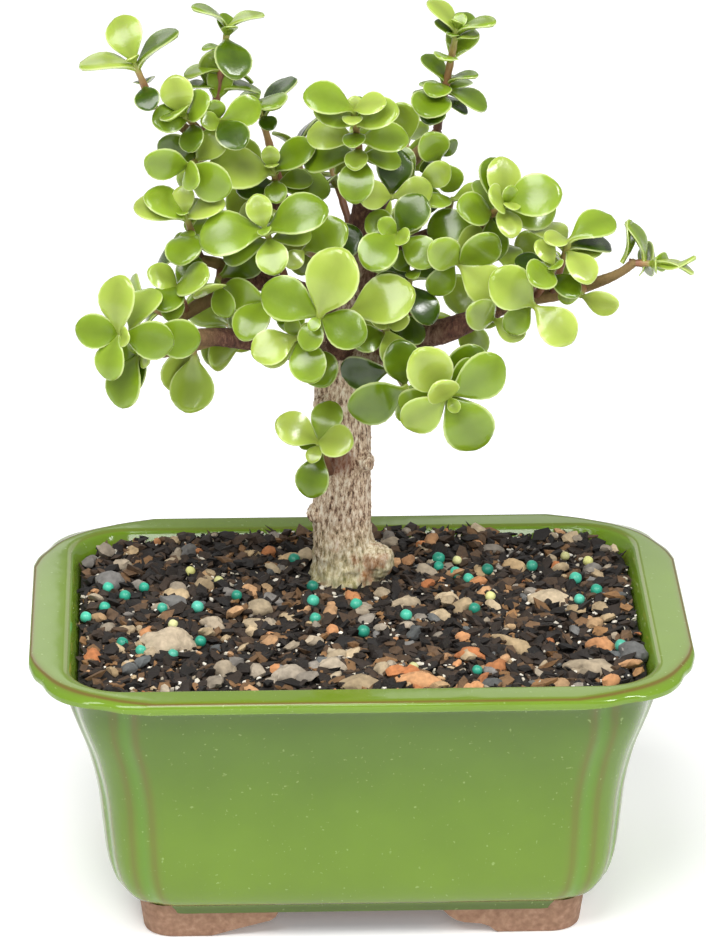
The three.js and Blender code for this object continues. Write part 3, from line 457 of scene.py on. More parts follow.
# %% [markdown]
# ## The soil bed
# Potting mix for bonsai is mostly composted bark with grit. Its bed is a low mound that rises
# to the trunk. It is drawn in rings like the pot, and finer grains are laid over it next.

# %% The soil bed
SOIL_EDGE = 65.8
SOIL_RISE = 2
SOIL_SPREAD_X = 46
SOIL_SPREAD_Y = 40
SOIL_INSET = 10.9
# The soil is heaped a little higher against the back wall.
BACK_BANK = 1.7
TRUNK_X = -2
TRUNK_Y = 22
TRUNK_FOOT_RADIUS = 9.2

def soil_height(x, y):
    away = ((x - TRUNK_X) / SOIL_SPREAD_X) ** 2 + ((y - TRUNK_Y) / SOIL_SPREAD_Y) ** 2
    lumps = 0.35 * math.sin(x / 4.1 + 1) * math.cos(y / 3.7) + 0.3 * math.sin(x / 7.3 - y / 5.9)
    bank = BACK_BANK * min(max((y - 34) / 8, 0), 1) * max(1 - (x / 66) ** 4, 0)
    return SOIL_EDGE + SOIL_RISE * math.exp(-away) + lumps * min(1, away * 3) + bank

wall = [(12.3, 25.55, 0.84), (30, 21.35, 0.9), (50, 16.35, 0.94)]
rings = [plan_ring(z, o, INNER_RUN, s) for z, o, s in wall]
edge_ring = [point / MM for point in plan_ring(0, SOIL_INSET + 0.35, INNER_RUN, 0.985)]
for share in [1 - 0.03 * i for i in range(33)]:
    ring = []
    for point in edge_ring:
        x, y = point.x * share, point.y * share
        rough = 0.5 * noise.noise(Vector((x, y, 3)) * 0.8) if share < 1 else -0.8
        ring.append(Vector((x, y, soil_height(x, y) + rough - 0.3)) * MM)
    rings.append(ring)
soil = draw_rings("potting_mix_bed", rings)
print("soil faces:", len(soil.data.polygons))

# %% [markdown]
# ## Grains, stones and fertiliser beads
# Thousands of crumbs of bark lie among pumice and pebbles. One crumb is modelled as a rough
# lump of twenty faces, and each copy is turned, stretched and dropped on the bed with seeded
# draws. Each copy keeps a number for its own tone.

# %% Grains
def random_from(seed):
    state = [seed]
    def draw(low=0.0, high=1.0):
        state[0] = (state[0] * 1664525 + 1013904223) & 0xFFFFFFFF
        return low + (high - low) * state[0] / 4294967296
    return draw

def lump_arrays(subdivisions, roughness, seed):
    """The points and faces of a small rough lump of unit size."""
    select_only()
    bpy.ops.mesh.primitive_ico_sphere_add(subdivisions=subdivisions, radius=1)
    lump = bpy.context.object
    draw = random_from(seed)
    shift = Vector((draw(0, 50), draw(0, 50), draw(0, 50)))
    for vertex in lump.data.vertices:
        vertex.co *= 1 + roughness * noise.noise(vertex.co * 1.1 + shift) + 0.35 * roughness * (draw() - 0.5)
    points = np.array([vertex.co[:] for vertex in lump.data.vertices])
    faces = np.array([face.vertices[:] for face in lump.data.polygons])
    bpy.data.objects.remove(lump)
    return points, faces

def joined_copies(name, copies, value_name):
    """One piece from (points in mm, faces, value) copies; the value is kept for every point."""
    points, faces, values, start = [], [], [], 0
    for copy_points, copy_faces, value in copies:
        points.append(copy_points)
        faces.append(copy_faces + start)
        values.append(np.tile(np.array(value, dtype=float), (len(copy_points), 1)))
        start += len(copy_points)
    mesh = bpy.data.meshes.new(name)
    mesh.from_pydata((np.concatenate(points) * MM).tolist(), [], np.concatenate(faces).tolist())
    layer = mesh.color_attributes.new(value_name, "FLOAT_COLOR", "POINT")
    layer.data.foreach_set("color", np.concatenate(values).ravel())
    piece = bpy.data.objects.new(name, mesh)
    bpy.context.scene.collection.objects.link(piece)
    return piece

def turned(draw):
    turn = Matrix.Rotation(draw(0, 6.28), 3, "Z") @ Matrix.Rotation(draw(-0.6, 0.6), 3, "X") \
        @ Matrix.Rotation(draw(-0.6, 0.6), 3, "Y")
    return np.array(turn)

def in_bed(x, y, margin):
    """Whether a point is inside the pot's round-cornered inside and off the trunk."""
    half_x = POT_WIDTH / 2 - SOIL_INSET - margin
    half_y = POT_DEPTH / 2 - SOIL_INSET * DEPTH_TAPER - margin
    corner = INNER_CORNER_RADIUS
    over_x = max(abs(x) - half_x + corner, 0)
    over_y = max(abs(y) - half_y + corner, 0)
    if abs(x) > half_x or abs(y) > half_y or math.hypot(over_x, over_y) > corner:
        return False
    return math.hypot(x - TRUNK_X, y - TRUNK_Y) > TRUNK_FOOT_RADIUS + margin + 0.4

def scatter(count, seed, shapes, sizes, stretch, sink, tones):
    draw = random_from(seed)
    copies = []
    while len(copies) < count:
        x = draw(-66, 66)
        y = draw(-48, 48)
        size = sizes[0] + (sizes[1] - sizes[0]) * draw() ** 1.6
        if not in_bed(x, y, size * 0.55):
            continue
        points, faces = shapes[int(draw(0, len(shapes) - 0.001))]
        scale = np.array([size * draw(1, stretch), size * draw(0.75, 1), size * draw(0.5, 0.85)]) / 2
        moved = (points * scale) @ turned(draw).T
        z = soil_height(x, y) + size * (draw(0.1, 0.5) - sink)
        copies.append((moved + np.array([x, y, z]), faces, (draw(*tones), draw(), draw(), 1)))
    return copies

CRUMBS = [lump_arrays(1, 0.75, seed) for seed in (1, 2, 3, 4, 5, 6)]
PEBBLES = [lump_arrays(2, 0.5, seed) for seed in (11, 12, 13, 14, 15, 16)]
bark_bits = joined_copies("bark_crumbs", scatter(5200, 21, CRUMBS, (0.8, 3.7), 2.0, 0.22, (0, 1)), "tone")
shreds = joined_copies("bark_shreds", scatter(900, 23, CRUMBS, (0.6, 1.6), 6, 0, (0, 0.9)), "tone")
grit = joined_copies("pumice_and_grit", scatter(420, 31, PEBBLES, (1.1, 4.6), 1.5, 0.12, (0, 1)), "tone")
specks = joined_copies("perlite_specks", scatter(1100, 33, CRUMBS, (0.5, 1.5), 1.3, -0.1, (0.3, 0.62)), "tone")
print("crumb faces:", len(bark_bits.data.polygons), "grit faces:", len(grit.data.polygons),
      "speck faces:", len(specks.data.polygons))

# %% [markdown]
# The larger stones lie where the picture shows them, and so do the green beads of slow-release
# fertiliser and a few pale prills. Stones: x, y, width, depth, height, turn, tone.

# %% Stones and beads
STONES = [(-44, -17, 13, 9, 7, 10, 0.37), (-58, 18, 7, 6, 6, 40, 0.1), (-42, 13, 5, 5, 5, 0, 0.3),
          (-31, -32.5, 6, 5, 5, 60, 0.35), (-17, -35, 8, 5, 6, 35, 0.25), (-7, -30, 6, 5, 5, 0, 0.3),
          (-1, -40.5, 9, 6, 5, 15, 0.6), (12, -39.5, 10, 5, 5, 5, 0.85), (5, -32, 5, 4, 4, 50, 0.5),
          (25, -26, 7, 4, 4, -10, 0.98), (35, -20, 12, 4, 4, -45, 0.65),
          (31, -31.5, 6, 4, 4, 20, 0.95), (45, 6.5, 10, 7, 5, 10, 0.45),
          (52, -32.5, 11, 6, 5, -10, 0.4), (55, -20.5, 6, 5, 5, 0, 0.88),
          (62, -25.5, 6, 7, 6, 30, 0.05), (13, -13, 5, 4, 4, 70, 0.02), (21, 5, 5, 4, 4, 0, 0.5),
          (11, 2.5, 7, 4, 4, 30, 0.45), (19, -3.5, 5, 4, 4, 0, 0.55), (-15, 29.5, 6, 4, 4, 25, 0.7),
          (38, 25, 6, 4, 4, 0, 0.7), (33, 36, 6, 3, 3, 0, 0.2), (9, 38, 5, 4, 3, 10, 0.3),
          (-34, -7, 6, 4, 5, -30, 0.35), (-23, 0, 6, 5, 5, 20, 0.5)]
BEADS = [(-58, 14), (-50, 14.5), (-54, 10), (-59, 4), (-46, 2.5), (-37, 2), (-28, 6), (-65, -6.5),
         (-63, -1.5), (-55, -16.5), (-50, -21.5), (-43, -23), (-37, -16.5), (-10, 11), (-10, 4.5),
         (-14, 27), (-10, -7), (20, 29), (20, 22.5), (24, 19), (26, 16), (31, 20.5), (42, 24.5),
         (52, 18), (56, 11), (52, 4), (27, -1.5), (11, -6), (66, -0.5), (67, -10.5), (60, -22.5),
         (26, -34.5), (0, -0.5), (1, -12.5)]
PRILLS = [(-32, 18), (-39, 24), (-43, -7.5), (38, 26), (50, 30), (56, 28), (24, 27), (12, -33),
          (49, -30.5), (31, 5.5)]

draw = random_from(41)
BOULDERS = [lump_arrays(3, 0.42, seed) for seed in (51, 52, 53, 54, 55)]
copies = []
for x, y, width, depth, height, turn, tone in STONES:
    points, faces = BOULDERS[int(draw(0, 4.99))]
    moved = (points * np.array([width, depth, height]) / 2) @ np.array(Matrix.Rotation(math.radians(turn), 3, "Z")).T
    lift = np.array([x, y, soil_height(x, y) + height * 0.12])
    copies.append((moved + lift, faces, (tone, draw(), draw(), 1)))
stones = joined_copies("large_stones", copies, "tone")

ROUND = lump_arrays(3, 0.06, 61)
def beads(name, places, diameter, seed):
    draw = random_from(seed)
    copies = []
    for x, y in places:
        x, y = x + draw(-0.5, 0.5), y + draw(-0.5, 0.5)
        if in_bed(x, y, diameter / 2):
            centre = np.array([x, y, soil_height(x, y) + diameter * draw(0.35, 0.7)])
            size = diameter / 2 * draw(0.88, 1.1)
            copies.append((ROUND[0] * size + centre, ROUND[1], (draw(), draw(), draw(), 1)))
    return joined_copies(name, copies, "tone")

green_beads = beads("fertiliser_beads", BEADS, 2.8, 71)
pale_prills = beads("pale_prills", PRILLS, 2.4, 72)
print("stones:", len(STONES), "beads:", len(BEADS) + len(PRILLS))

# %% [markdown]
# Each finish reads the tone of its own grain: bark from black-brown to rust, stones from slate
# through grey and tan to orange.

# %% Soil finishes
def grain_material(name, stops, roughness, grain_mm, bump_strength):
    material, tree, shader = new_material(name)
    place = add_node(tree, "TexCoord")
    tone = attribute_node(tree, "tone")
    parts = add_node(tree, "SeparateColor", links=[("Color", tone, "Color")])
    colour = ramp_node(tree, parts, "Red", stops)
    speckle = add_node(tree, "TexNoise", inputs={"Scale": 1000 / grain_mm, "Detail": 4},
                       links=[("Vector", place, "Object")])
    mixed = add_node(tree, "Mix", {"data_type": "RGBA", "blend_type": "OVERLAY"}, {"Factor": 0.55},
                     [("A", colour, "Color"), ("B", speckle, "Fac")])
    shade = add_node(tree, "MapRange", inputs={"To Min": 0.7, "To Max": 1.15}, links=[("Value", parts, "Green")])
    varied = add_node(tree, "HueSaturation", links=[("Color", mixed, "Result"), ("Value", shade, "Result")])
    tree.links.new(varied.outputs["Color"], shader.inputs["Base Color"])
    shader.inputs["Roughness"].default_value = roughness
    bump = add_node(tree, "Bump", inputs={"Strength": bump_strength, "Distance": 0.0004},
                    links=[("Height", speckle, "Fac")])
    tree.links.new(bump.outputs["Normal"], shader.inputs["Normal"])
    return material

BARK_STOPS = [(0, "#0f0a07"), (0.42, "#1d140d"), (0.72, "#34261a"), (0.88, "#5b442e"), (1, "#8f683f")]
STONE_STOPS = [(0, "#565a5a"), (0.12, "#7a7672"), (0.3, "#a59783"), (0.5, "#b8a587"), (0.68, "#b39a74"),
               (0.82, "#bb9067"), (0.92, "#bd7f50"), (1, "#b06c40")]
# Composted bark: damp, fibrous and dull.
bark_mix = grain_material("damp composted bark", BARK_STOPS, 0.72, 1.2, 0.9)
# Pumice, granite and burnt clay grit: dry, porous stone.
stone_mix = grain_material("dry pumice and granite grit", STONE_STOPS, 0.9, 1.4, 0.8)
# Resin-coated fertiliser: a smooth waxy bead, blue-green, and pale yellow-green when spent.
bead_skin = grain_material("resin-coated fertiliser", [(0, "#1f8f77"), (0.6, "#35a98c"), (1, "#5cc9ad")], 0.35, 3, 0.1)
prill_skin = grain_material("spent pale fertiliser", [(0, "#c9c87a"), (1, "#e0dfa2")], 0.6, 2, 0.3)
# Perlite dust: tiny pale flakes of blown volcanic glass.
perlite = grain_material("pale perlite dust", [(0.3, "#b3a892"), (0.62, "#efe9da")], 0.8, 1, 0.4)
soil_layer = soil.data.color_attributes.new("tone", "FLOAT_COLOR", "POINT")
soil_layer.data.foreach_set("color", [0.25, 0.3, 0.5, 1] * len(soil.data.vertices))
finish_piece(soil, [bark_mix], ["soil"], 60)
finish_piece(bark_bits, [bark_mix], [], 25)
finish_piece(shreds, [bark_mix], [], 25)
finish_piece(grit, [stone_mix], [], 40)
finish_piece(specks, [perlite], [], 40)
finish_piece(stones, [stone_mix], [], 40)
finish_piece(green_beads, [bead_skin], [], 60)
finish_piece(pale_prills, [prill_skin], [], 60)

# %% [markdown]
# ## The trunk and its limbs
# A jade's trunk is soft wood under thin bark. Each limb is a tube through measured points with
# a radius at each. The tubes are joined and remeshed in small even cells, which blends
# the forks as living wood does, and then the bark is pushed in and out a little.

# %% Tubes for the wood
TRUNK = [(-2, 22, 45, 9.2), (-2, 22, 58, 9.2), (-2, 22, 66.8, 9.1), (-2, 22, 70, 8.3), (-3, 22, 77, 7.2), (-3, 22, 91, 6.9),
         (-3, 22, 104, 6.8), (-3, 22, 113, 6.7), (-3, 22, 120, 6.2)]
LIMBS = [
    [(-3, 22, 118, 6), (-3, 23, 129, 5.2), (-1, 25, 139, 4.2), (1, 26, 150, 3.4), (2, 24, 159, 2.6), (1, 19, 164, 2.1)],
    [(-2, 22, 118, 5.2), (5, 20, 125, 4.4), (13, 18, 129, 3.5), (20, 15, 131, 3.1), (28, 13, 135, 2.4),
     (37, 11, 140, 1.9), (46, 9, 142, 1.6), (55, 6, 146, 1.4), (60, 4, 149, 1.1), (63, 3, 151.8, 1.1)],
    [(-1, 25, 138, 3.4), (8, 24, 145, 2.9), (16, 22, 151, 2.4), (22, 19, 154, 2), (29, 16, 156, 1.6)],
    [(1, 26, 150, 2.6), (6, 28, 159, 2.2), (11, 28, 166, 1.9), (16, 26, 172, 1.6), (19, 25, 176, 1.4)],
    [(-2, 25, 137, 3.6), (-8, 28, 148, 3.1), (-16, 28, 157, 2.7), (-23, 26, 163, 2.4), (-29, 24, 169, 2.1),
     (-33, 22, 174, 1.8)],
    [(-32, 22, 172, 1.6), (-34, 22, 179, 1.4), (-32, 21, 184, 1.2)],
    [(-32, 22, 173, 1.6), (-39, 18, 180, 1.3), (-45, 15, 185, 1.1)],
    [(-3, 23, 128, 3.8), (-11, 20, 138, 2.9), (-19, 18, 142, 2.5), (-27, 16, 144, 2.1), (-34, 14, 140, 1.8),
     (-41, 12, 136, 1.5)],
    [(-25, 17, 144, 1.9), (-31, 15, 148, 1.5), (-37, 14, 150, 1.2)],
    [(-3, 22, 119, 4.6), (-12, 16, 126, 3.3), (-22, 10, 131, 2.7), (-32, 5, 134, 2.2), (-41, 1, 136, 1.6),
     (-47, -1, 138, 1.2)],
    [(-31, 6, 134, 1.7), (-38, 4, 132, 1.3), (-45, 2, 131, 1)],
    [(-3, 21, 124, 3.2), (-5, 10, 133, 2.4), (-6, 4, 137, 1.6)],
]
KNOTS = [(5, 18.5, 72.5, 4.2), (-9, 20, 84, 2.6), (2.5, 17, 98, 2.4), (-7, 18, 112, 3)]
WOOD_CELL = 0.5

def tube_rings(stations, steps, sides):
    run = smooth_run(stations, steps)
    side = Vector((1, 0, 0))
    rings = []
    for i, (x, y, z, radius) in enumerate(run):
        before, after = run[max(i - 1, 0)], run[min(i + 1, len(run) - 1)]
        along = (Vector(after[:3]) - Vector(before[:3])).normalized()
        if i == 0 and abs(along.x) > 0.9:
            side = Vector((0, 1, 0))
        side = (side - along * side.dot(along)).normalized()
        up = along.cross(side)
        angles = [2 * math.pi * j / sides for j in range(sides)]
        rings.append([(Vector((x, y, z)) + (side * math.cos(a) + up * math.sin(a)) * radius) * MM for a in angles])
        if i == len(run) - 1:
            for push, share in ((0.45, 0.8), (0.62, 0.4)):
                centre = Vector((x, y, z)) + along * radius * push
                rings.append([(centre + (side * math.cos(a) + up * math.sin(a)) * radius * share) * MM for a in angles])
    return rings

tubes = [draw_rings("limb", tube_rings(TRUNK, 3, 32))]
for stations in LIMBS:
    tubes.append(draw_rings("limb", tube_rings(stations, 3, 16)))
for x, y, z, radius in KNOTS:
    select_only()
    bpy.ops.mesh.primitive_ico_sphere_add(subdivisions=3, radius=radius * MM, location=(x * MM, y * MM, z * MM))
    bpy.ops.object.transform_apply(location=True, rotation=True, scale=True)
    tubes.append(bpy.context.object)
select_only(*tubes)
bpy.ops.object.join()
wood = bpy.context.object
wood.name = "barked_trunk"
remesh = wood.modifiers.new("even cells", "REMESH")
remesh.mode = "VOXEL"
remesh.voxel_size = WOOD_CELL * MM
bpy.ops.object.modifier_apply(modifier=remesh.name)
smooth = wood.modifiers.new("soft forks", "SMOOTH")
smooth.factor = 0.5
smooth.iterations = 4
bpy.ops.object.modifier_apply(modifier=smooth.name)
print("wood faces:", len(wood.data.polygons))

# %% [markdown]
# Old bark has shallow upright fissures, young wood is nearly smooth. The distance to the
# nearest limb's middle line tells how old a spot is, and scales the relief.

# %% Bark relief
def segments_of(all_stations):
    rows = []
    for stations in all_stations:
        for a, b in zip(stations[:-1], stations[1:]):
            rows.append(list(a) + list(b))
    return np.array(rows, dtype=float)

WOOD_SEGMENTS = segments_of([TRUNK] + LIMBS)

def nearest_radius(points):
    """For each point, the radius of the limb whose surface is nearest."""
    best = np.full(len(points), 1e9)
    radius = np.zeros(len(points))
    for row in WOOD_SEGMENTS:
        start, end = row[:3], row[4:7]
        run = end - start
        share = np.clip((points - start) @ run / (run @ run), 0, 1)
        away = np.linalg.norm(points - start - share[:, None] * run, axis=1)
        r = row[3] + share * (row[7] - row[3])
        closer = away - r < best
        best[closer] = (away - r)[closer]
        radius[closer] = r[closer]
    return radius

count = len(wood.data.vertices)
points = np.zeros(count * 3)
wood.data.vertices.foreach_get("co", points)
points = points.reshape(-1, 3) / MM
normals = np.zeros(count * 3)
wood.data.vertices.foreach_get("normal", normals)
normals = normals.reshape(-1, 3)
limb_radius = nearest_radius(points)
age = np.clip((limb_radius - 1.6) / 4.5, 0, 1)
relief = np.zeros(count)
for i, (x, y, z) in enumerate(points):
    if z < 66:
        continue
    fissure = noise.noise(Vector((x * 0.75, y * 0.75, z * 0.2)))
    crumb = noise.noise(Vector((x, y, z)) * 1.4)
    burr = noise.noise(Vector((x, y, z)) * 0.45) * near(z - 71, 6)
    relief[i] = age[i] * (0.45 * fissure + 0.25 * crumb + 0.9 * burr) - age[i] * 0.15 + 0.05 * crumb
points += normals * relief[:, None]
wood.data.vertices.foreach_set("co", (points * MM).ravel())
layer = wood.data.attributes.new("age", "FLOAT", "POINT")
layer.data.foreach_set("value", age)
wood.data.update()
print("relief in mm:", round(relief.min(), 2), round(relief.max(), 2))

# %% [markdown]
# Bark colour runs from grey-green lichen at the foot, through pale tan, to purple-brown on the
# limbs and red-green on the youngest wood.

# %% Bark finish
bark, tree, shader = new_material("jade tree bark")
place = add_node(tree, "TexCoord")
# Fissures about 0.8 mm apart round the trunk and three times as long up it.
stretched = add_node(tree, "Mapping", inputs={"Scale": (1, 1, 0.33)}, links=[("Vector", place, "Object")])
fissures = add_node(tree, "TexNoise", inputs={"Scale": 1250, "Detail": 6, "Roughness": 0.7},
                    links=[("Vector", stretched, "Vector")])
patches = add_node(tree, "TexNoise", inputs={"Scale": 130, "Detail": 5}, links=[("Vector", place, "Object")])
old = ramp_node(tree, fissures, "Fac", [(0.37, "#4a3123"), (0.43, "#a0816a"), (0.51, "#dcc2a5"), (0.6, "#faeedb")])
young = ramp_node(tree, fissures, "Fac", [(0.34, "#38201a"), (0.5, "#5f3c2f"), (0.68, "#84624c")])
age_node = attribute_node(tree, "age")
age_ramp = add_node(tree, "MapRange", inputs={"From Min": 0.3, "From Max": 0.95}, links=[("Value", age_node, "Fac")])
twig = add_node(tree, "MapRange", inputs={"From Min": 0.14, "From Max": 0.01, "To Max": 0.75},
                links=[("Value", age_node, "Fac")])
twiggy = add_node(tree, "Mix", {"data_type": "RGBA"}, {"B": linear("#8a7446")},
                  [("Factor", twig, "Result"), ("A", young, "Color")])
aged = add_node(tree, "Mix", {"data_type": "RGBA"},
                links=[("Factor", age_ramp, "Result"), ("A", twiggy, "Result"), ("B", old, "Color")])
position = add_node(tree, "SeparateXYZ", links=[("Vector", place, "Object")])
low = add_node(tree, "MapRange", inputs={"From Min": 0.084, "From Max": 0.069, "To Max": 1.3},
               links=[("Value", position, "Z")])
lichen_share = add_node(tree, "Math", {"operation": "MULTIPLY"}, links=[(0, low, "Result"), (1, patches, "Fac")])
growth = ramp_node(tree, patches, "Fac", [(0.38, "#5f7032"), (0.47, "#94985c"), (0.55, "#b7b58c"),
                                          (0.62, "#8e6232")])
lichen = add_node(tree, "Mix", {"data_type": "RGBA"},
                  links=[("Factor", lichen_share, "Value"), ("A", aged, "Result"), ("B", growth, "Color")])
# A healed cut on the front, about 8 mm across, where a branch was taken off.
cut = add_node(tree, "VectorMath", {"operation": "DISTANCE"}, {1: (-0.004, 0.0152, 0.099)},
               [(0, place, "Object")])
cut_share = add_node(tree, "MapRange", inputs={"From Min": 0.0048, "From Max": 0.0022, "To Max": 0.75},
                     links=[("Value", cut, "Value")])
healed = add_node(tree, "Mix", {"data_type": "RGBA"}, {"B": linear("#7c4230")},
                  [("Factor", cut_share, "Result"), ("A", lichen, "Result")])
tree.links.new(healed.outputs["Result"], shader.inputs["Base Color"])
shader.inputs["Roughness"].default_value = 0.85
bump = add_node(tree, "Bump", inputs={"Strength": 0.8, "Distance": 0.0005}, links=[("Height", fissures, "Fac")])
tree.links.new(bump.outputs["Normal"], shader.inputs["Normal"])
finish_piece(wood, [bark], ["trunk"], 70)

# %% [markdown]
# ## One leaf
# A leaf is a plump spoon: a flat grid is placed point by point on the outline, arched, given its
# thickness by Solidify, thinner at the margin, and kept as the pattern for every copy. It is one
# unit long.

# %% One leaf
LEAF_THICKNESS = 1.3
LEAF_WIDTH = 0.74
LEAF_GROWTH = 1.06
LEAF_ARCH = 0.1
LEAF_DROOP = 0.1
STEM_RADIUS = 1.0
STEM_TIP_RADIUS = 0.75
STEM_TIP_LENGTH = 0.8
LEAF_STATIONS = [0, 0.16, 0.36, 0.6, 0.8, 0.93, 1]
LEAF_HALF_WIDTHS = [0.09, 0.16, 0.36, 0.5, 0.43, 0.25, 0]
OUTLINE = [(0, 0.075), (0.05, 0.08), (0.1, 0.1), (0.18, 0.175), (0.28, 0.285), (0.4, 0.405), (0.52, 0.48),
           (0.64, 0.505), (0.75, 0.48), (0.84, 0.415), (0.915, 0.31), (0.965, 0.2), (1.0, 0.06)]
ACROSS = 6

def half_width(t):
    return np.interp(t, LEAF_STATIONS, LEAF_HALF_WIDTHS)

def leaf_rise(t):
    return LEAF_ARCH * np.sin(np.pi * np.asarray(t)) - LEAF_DROOP * np.asarray(t) ** 2

select_only()
bpy.ops.mesh.primitive_grid_add(x_subdivisions=len(OUTLINE) - 1, y_subdivisions=ACROSS, size=2)
pattern = bpy.context.object
plump = pattern.vertex_groups.new(name="plump")
flat_places = {}
for vertex in pattern.data.vertices:
    row = round((vertex.co.x + 1) / 2 * (len(OUTLINE) - 1))
    s = vertex.co.y
    t, half = OUTLINE[row]
    cup = 0.05 * s * s * math.sin(math.pi * min(t, 1)) ** 0.8
    vertex.co = (t, math.copysign(abs(s) ** 0.9, s) * half * LEAF_WIDTH, float(leaf_rise(t)) + cup)
    edge = max(abs(s), 1 if t > 0.99 else 0)
    plump.add([vertex.index], 0.14 + 0.86 * math.sqrt(max(0, 1 - edge ** 2.5)), "REPLACE")
    flat_places[vertex.index] = (t, s)
solidify = pattern.modifiers.new("flesh", "SOLIDIFY")
solidify.thickness = 0.11
solidify.offset = 0
solidify.vertex_group = "plump"
select_only(pattern)
bpy.ops.object.modifier_apply(modifier=solidify.name)
LEAF_POINTS = np.array([vertex.co[:] for vertex in pattern.data.vertices])
LEAF_FACES = [tuple(face.vertices) for face in pattern.data.polygons]
half_count = len(LEAF_POINTS) // 2
LEAF_PLACE = np.array([flat_places[i % half_count] for i in range(len(LEAF_POINTS))])
LEAF_UPPER = np.array([1.0 if LEAF_POINTS[i][2] > LEAF_POINTS[(i + half_count) % len(LEAF_POINTS)][2] else 0.0
                       for i in range(len(LEAF_POINTS))])
bpy.data.objects.remove(pattern)
print("leaf points:", len(LEAF_POINTS), "faces:", len(LEAF_FACES))

# %% [markdown]
# ## The shoots
# Leaves stand in opposite pairs, each pair crosswise to the next. A shoot is its root, its tip,
# the roll of its first pair, the lengths of its pairs from the tip down (0 where one has
# fallen), how far each pair opens in degrees, and how far back each sits in millimetres.

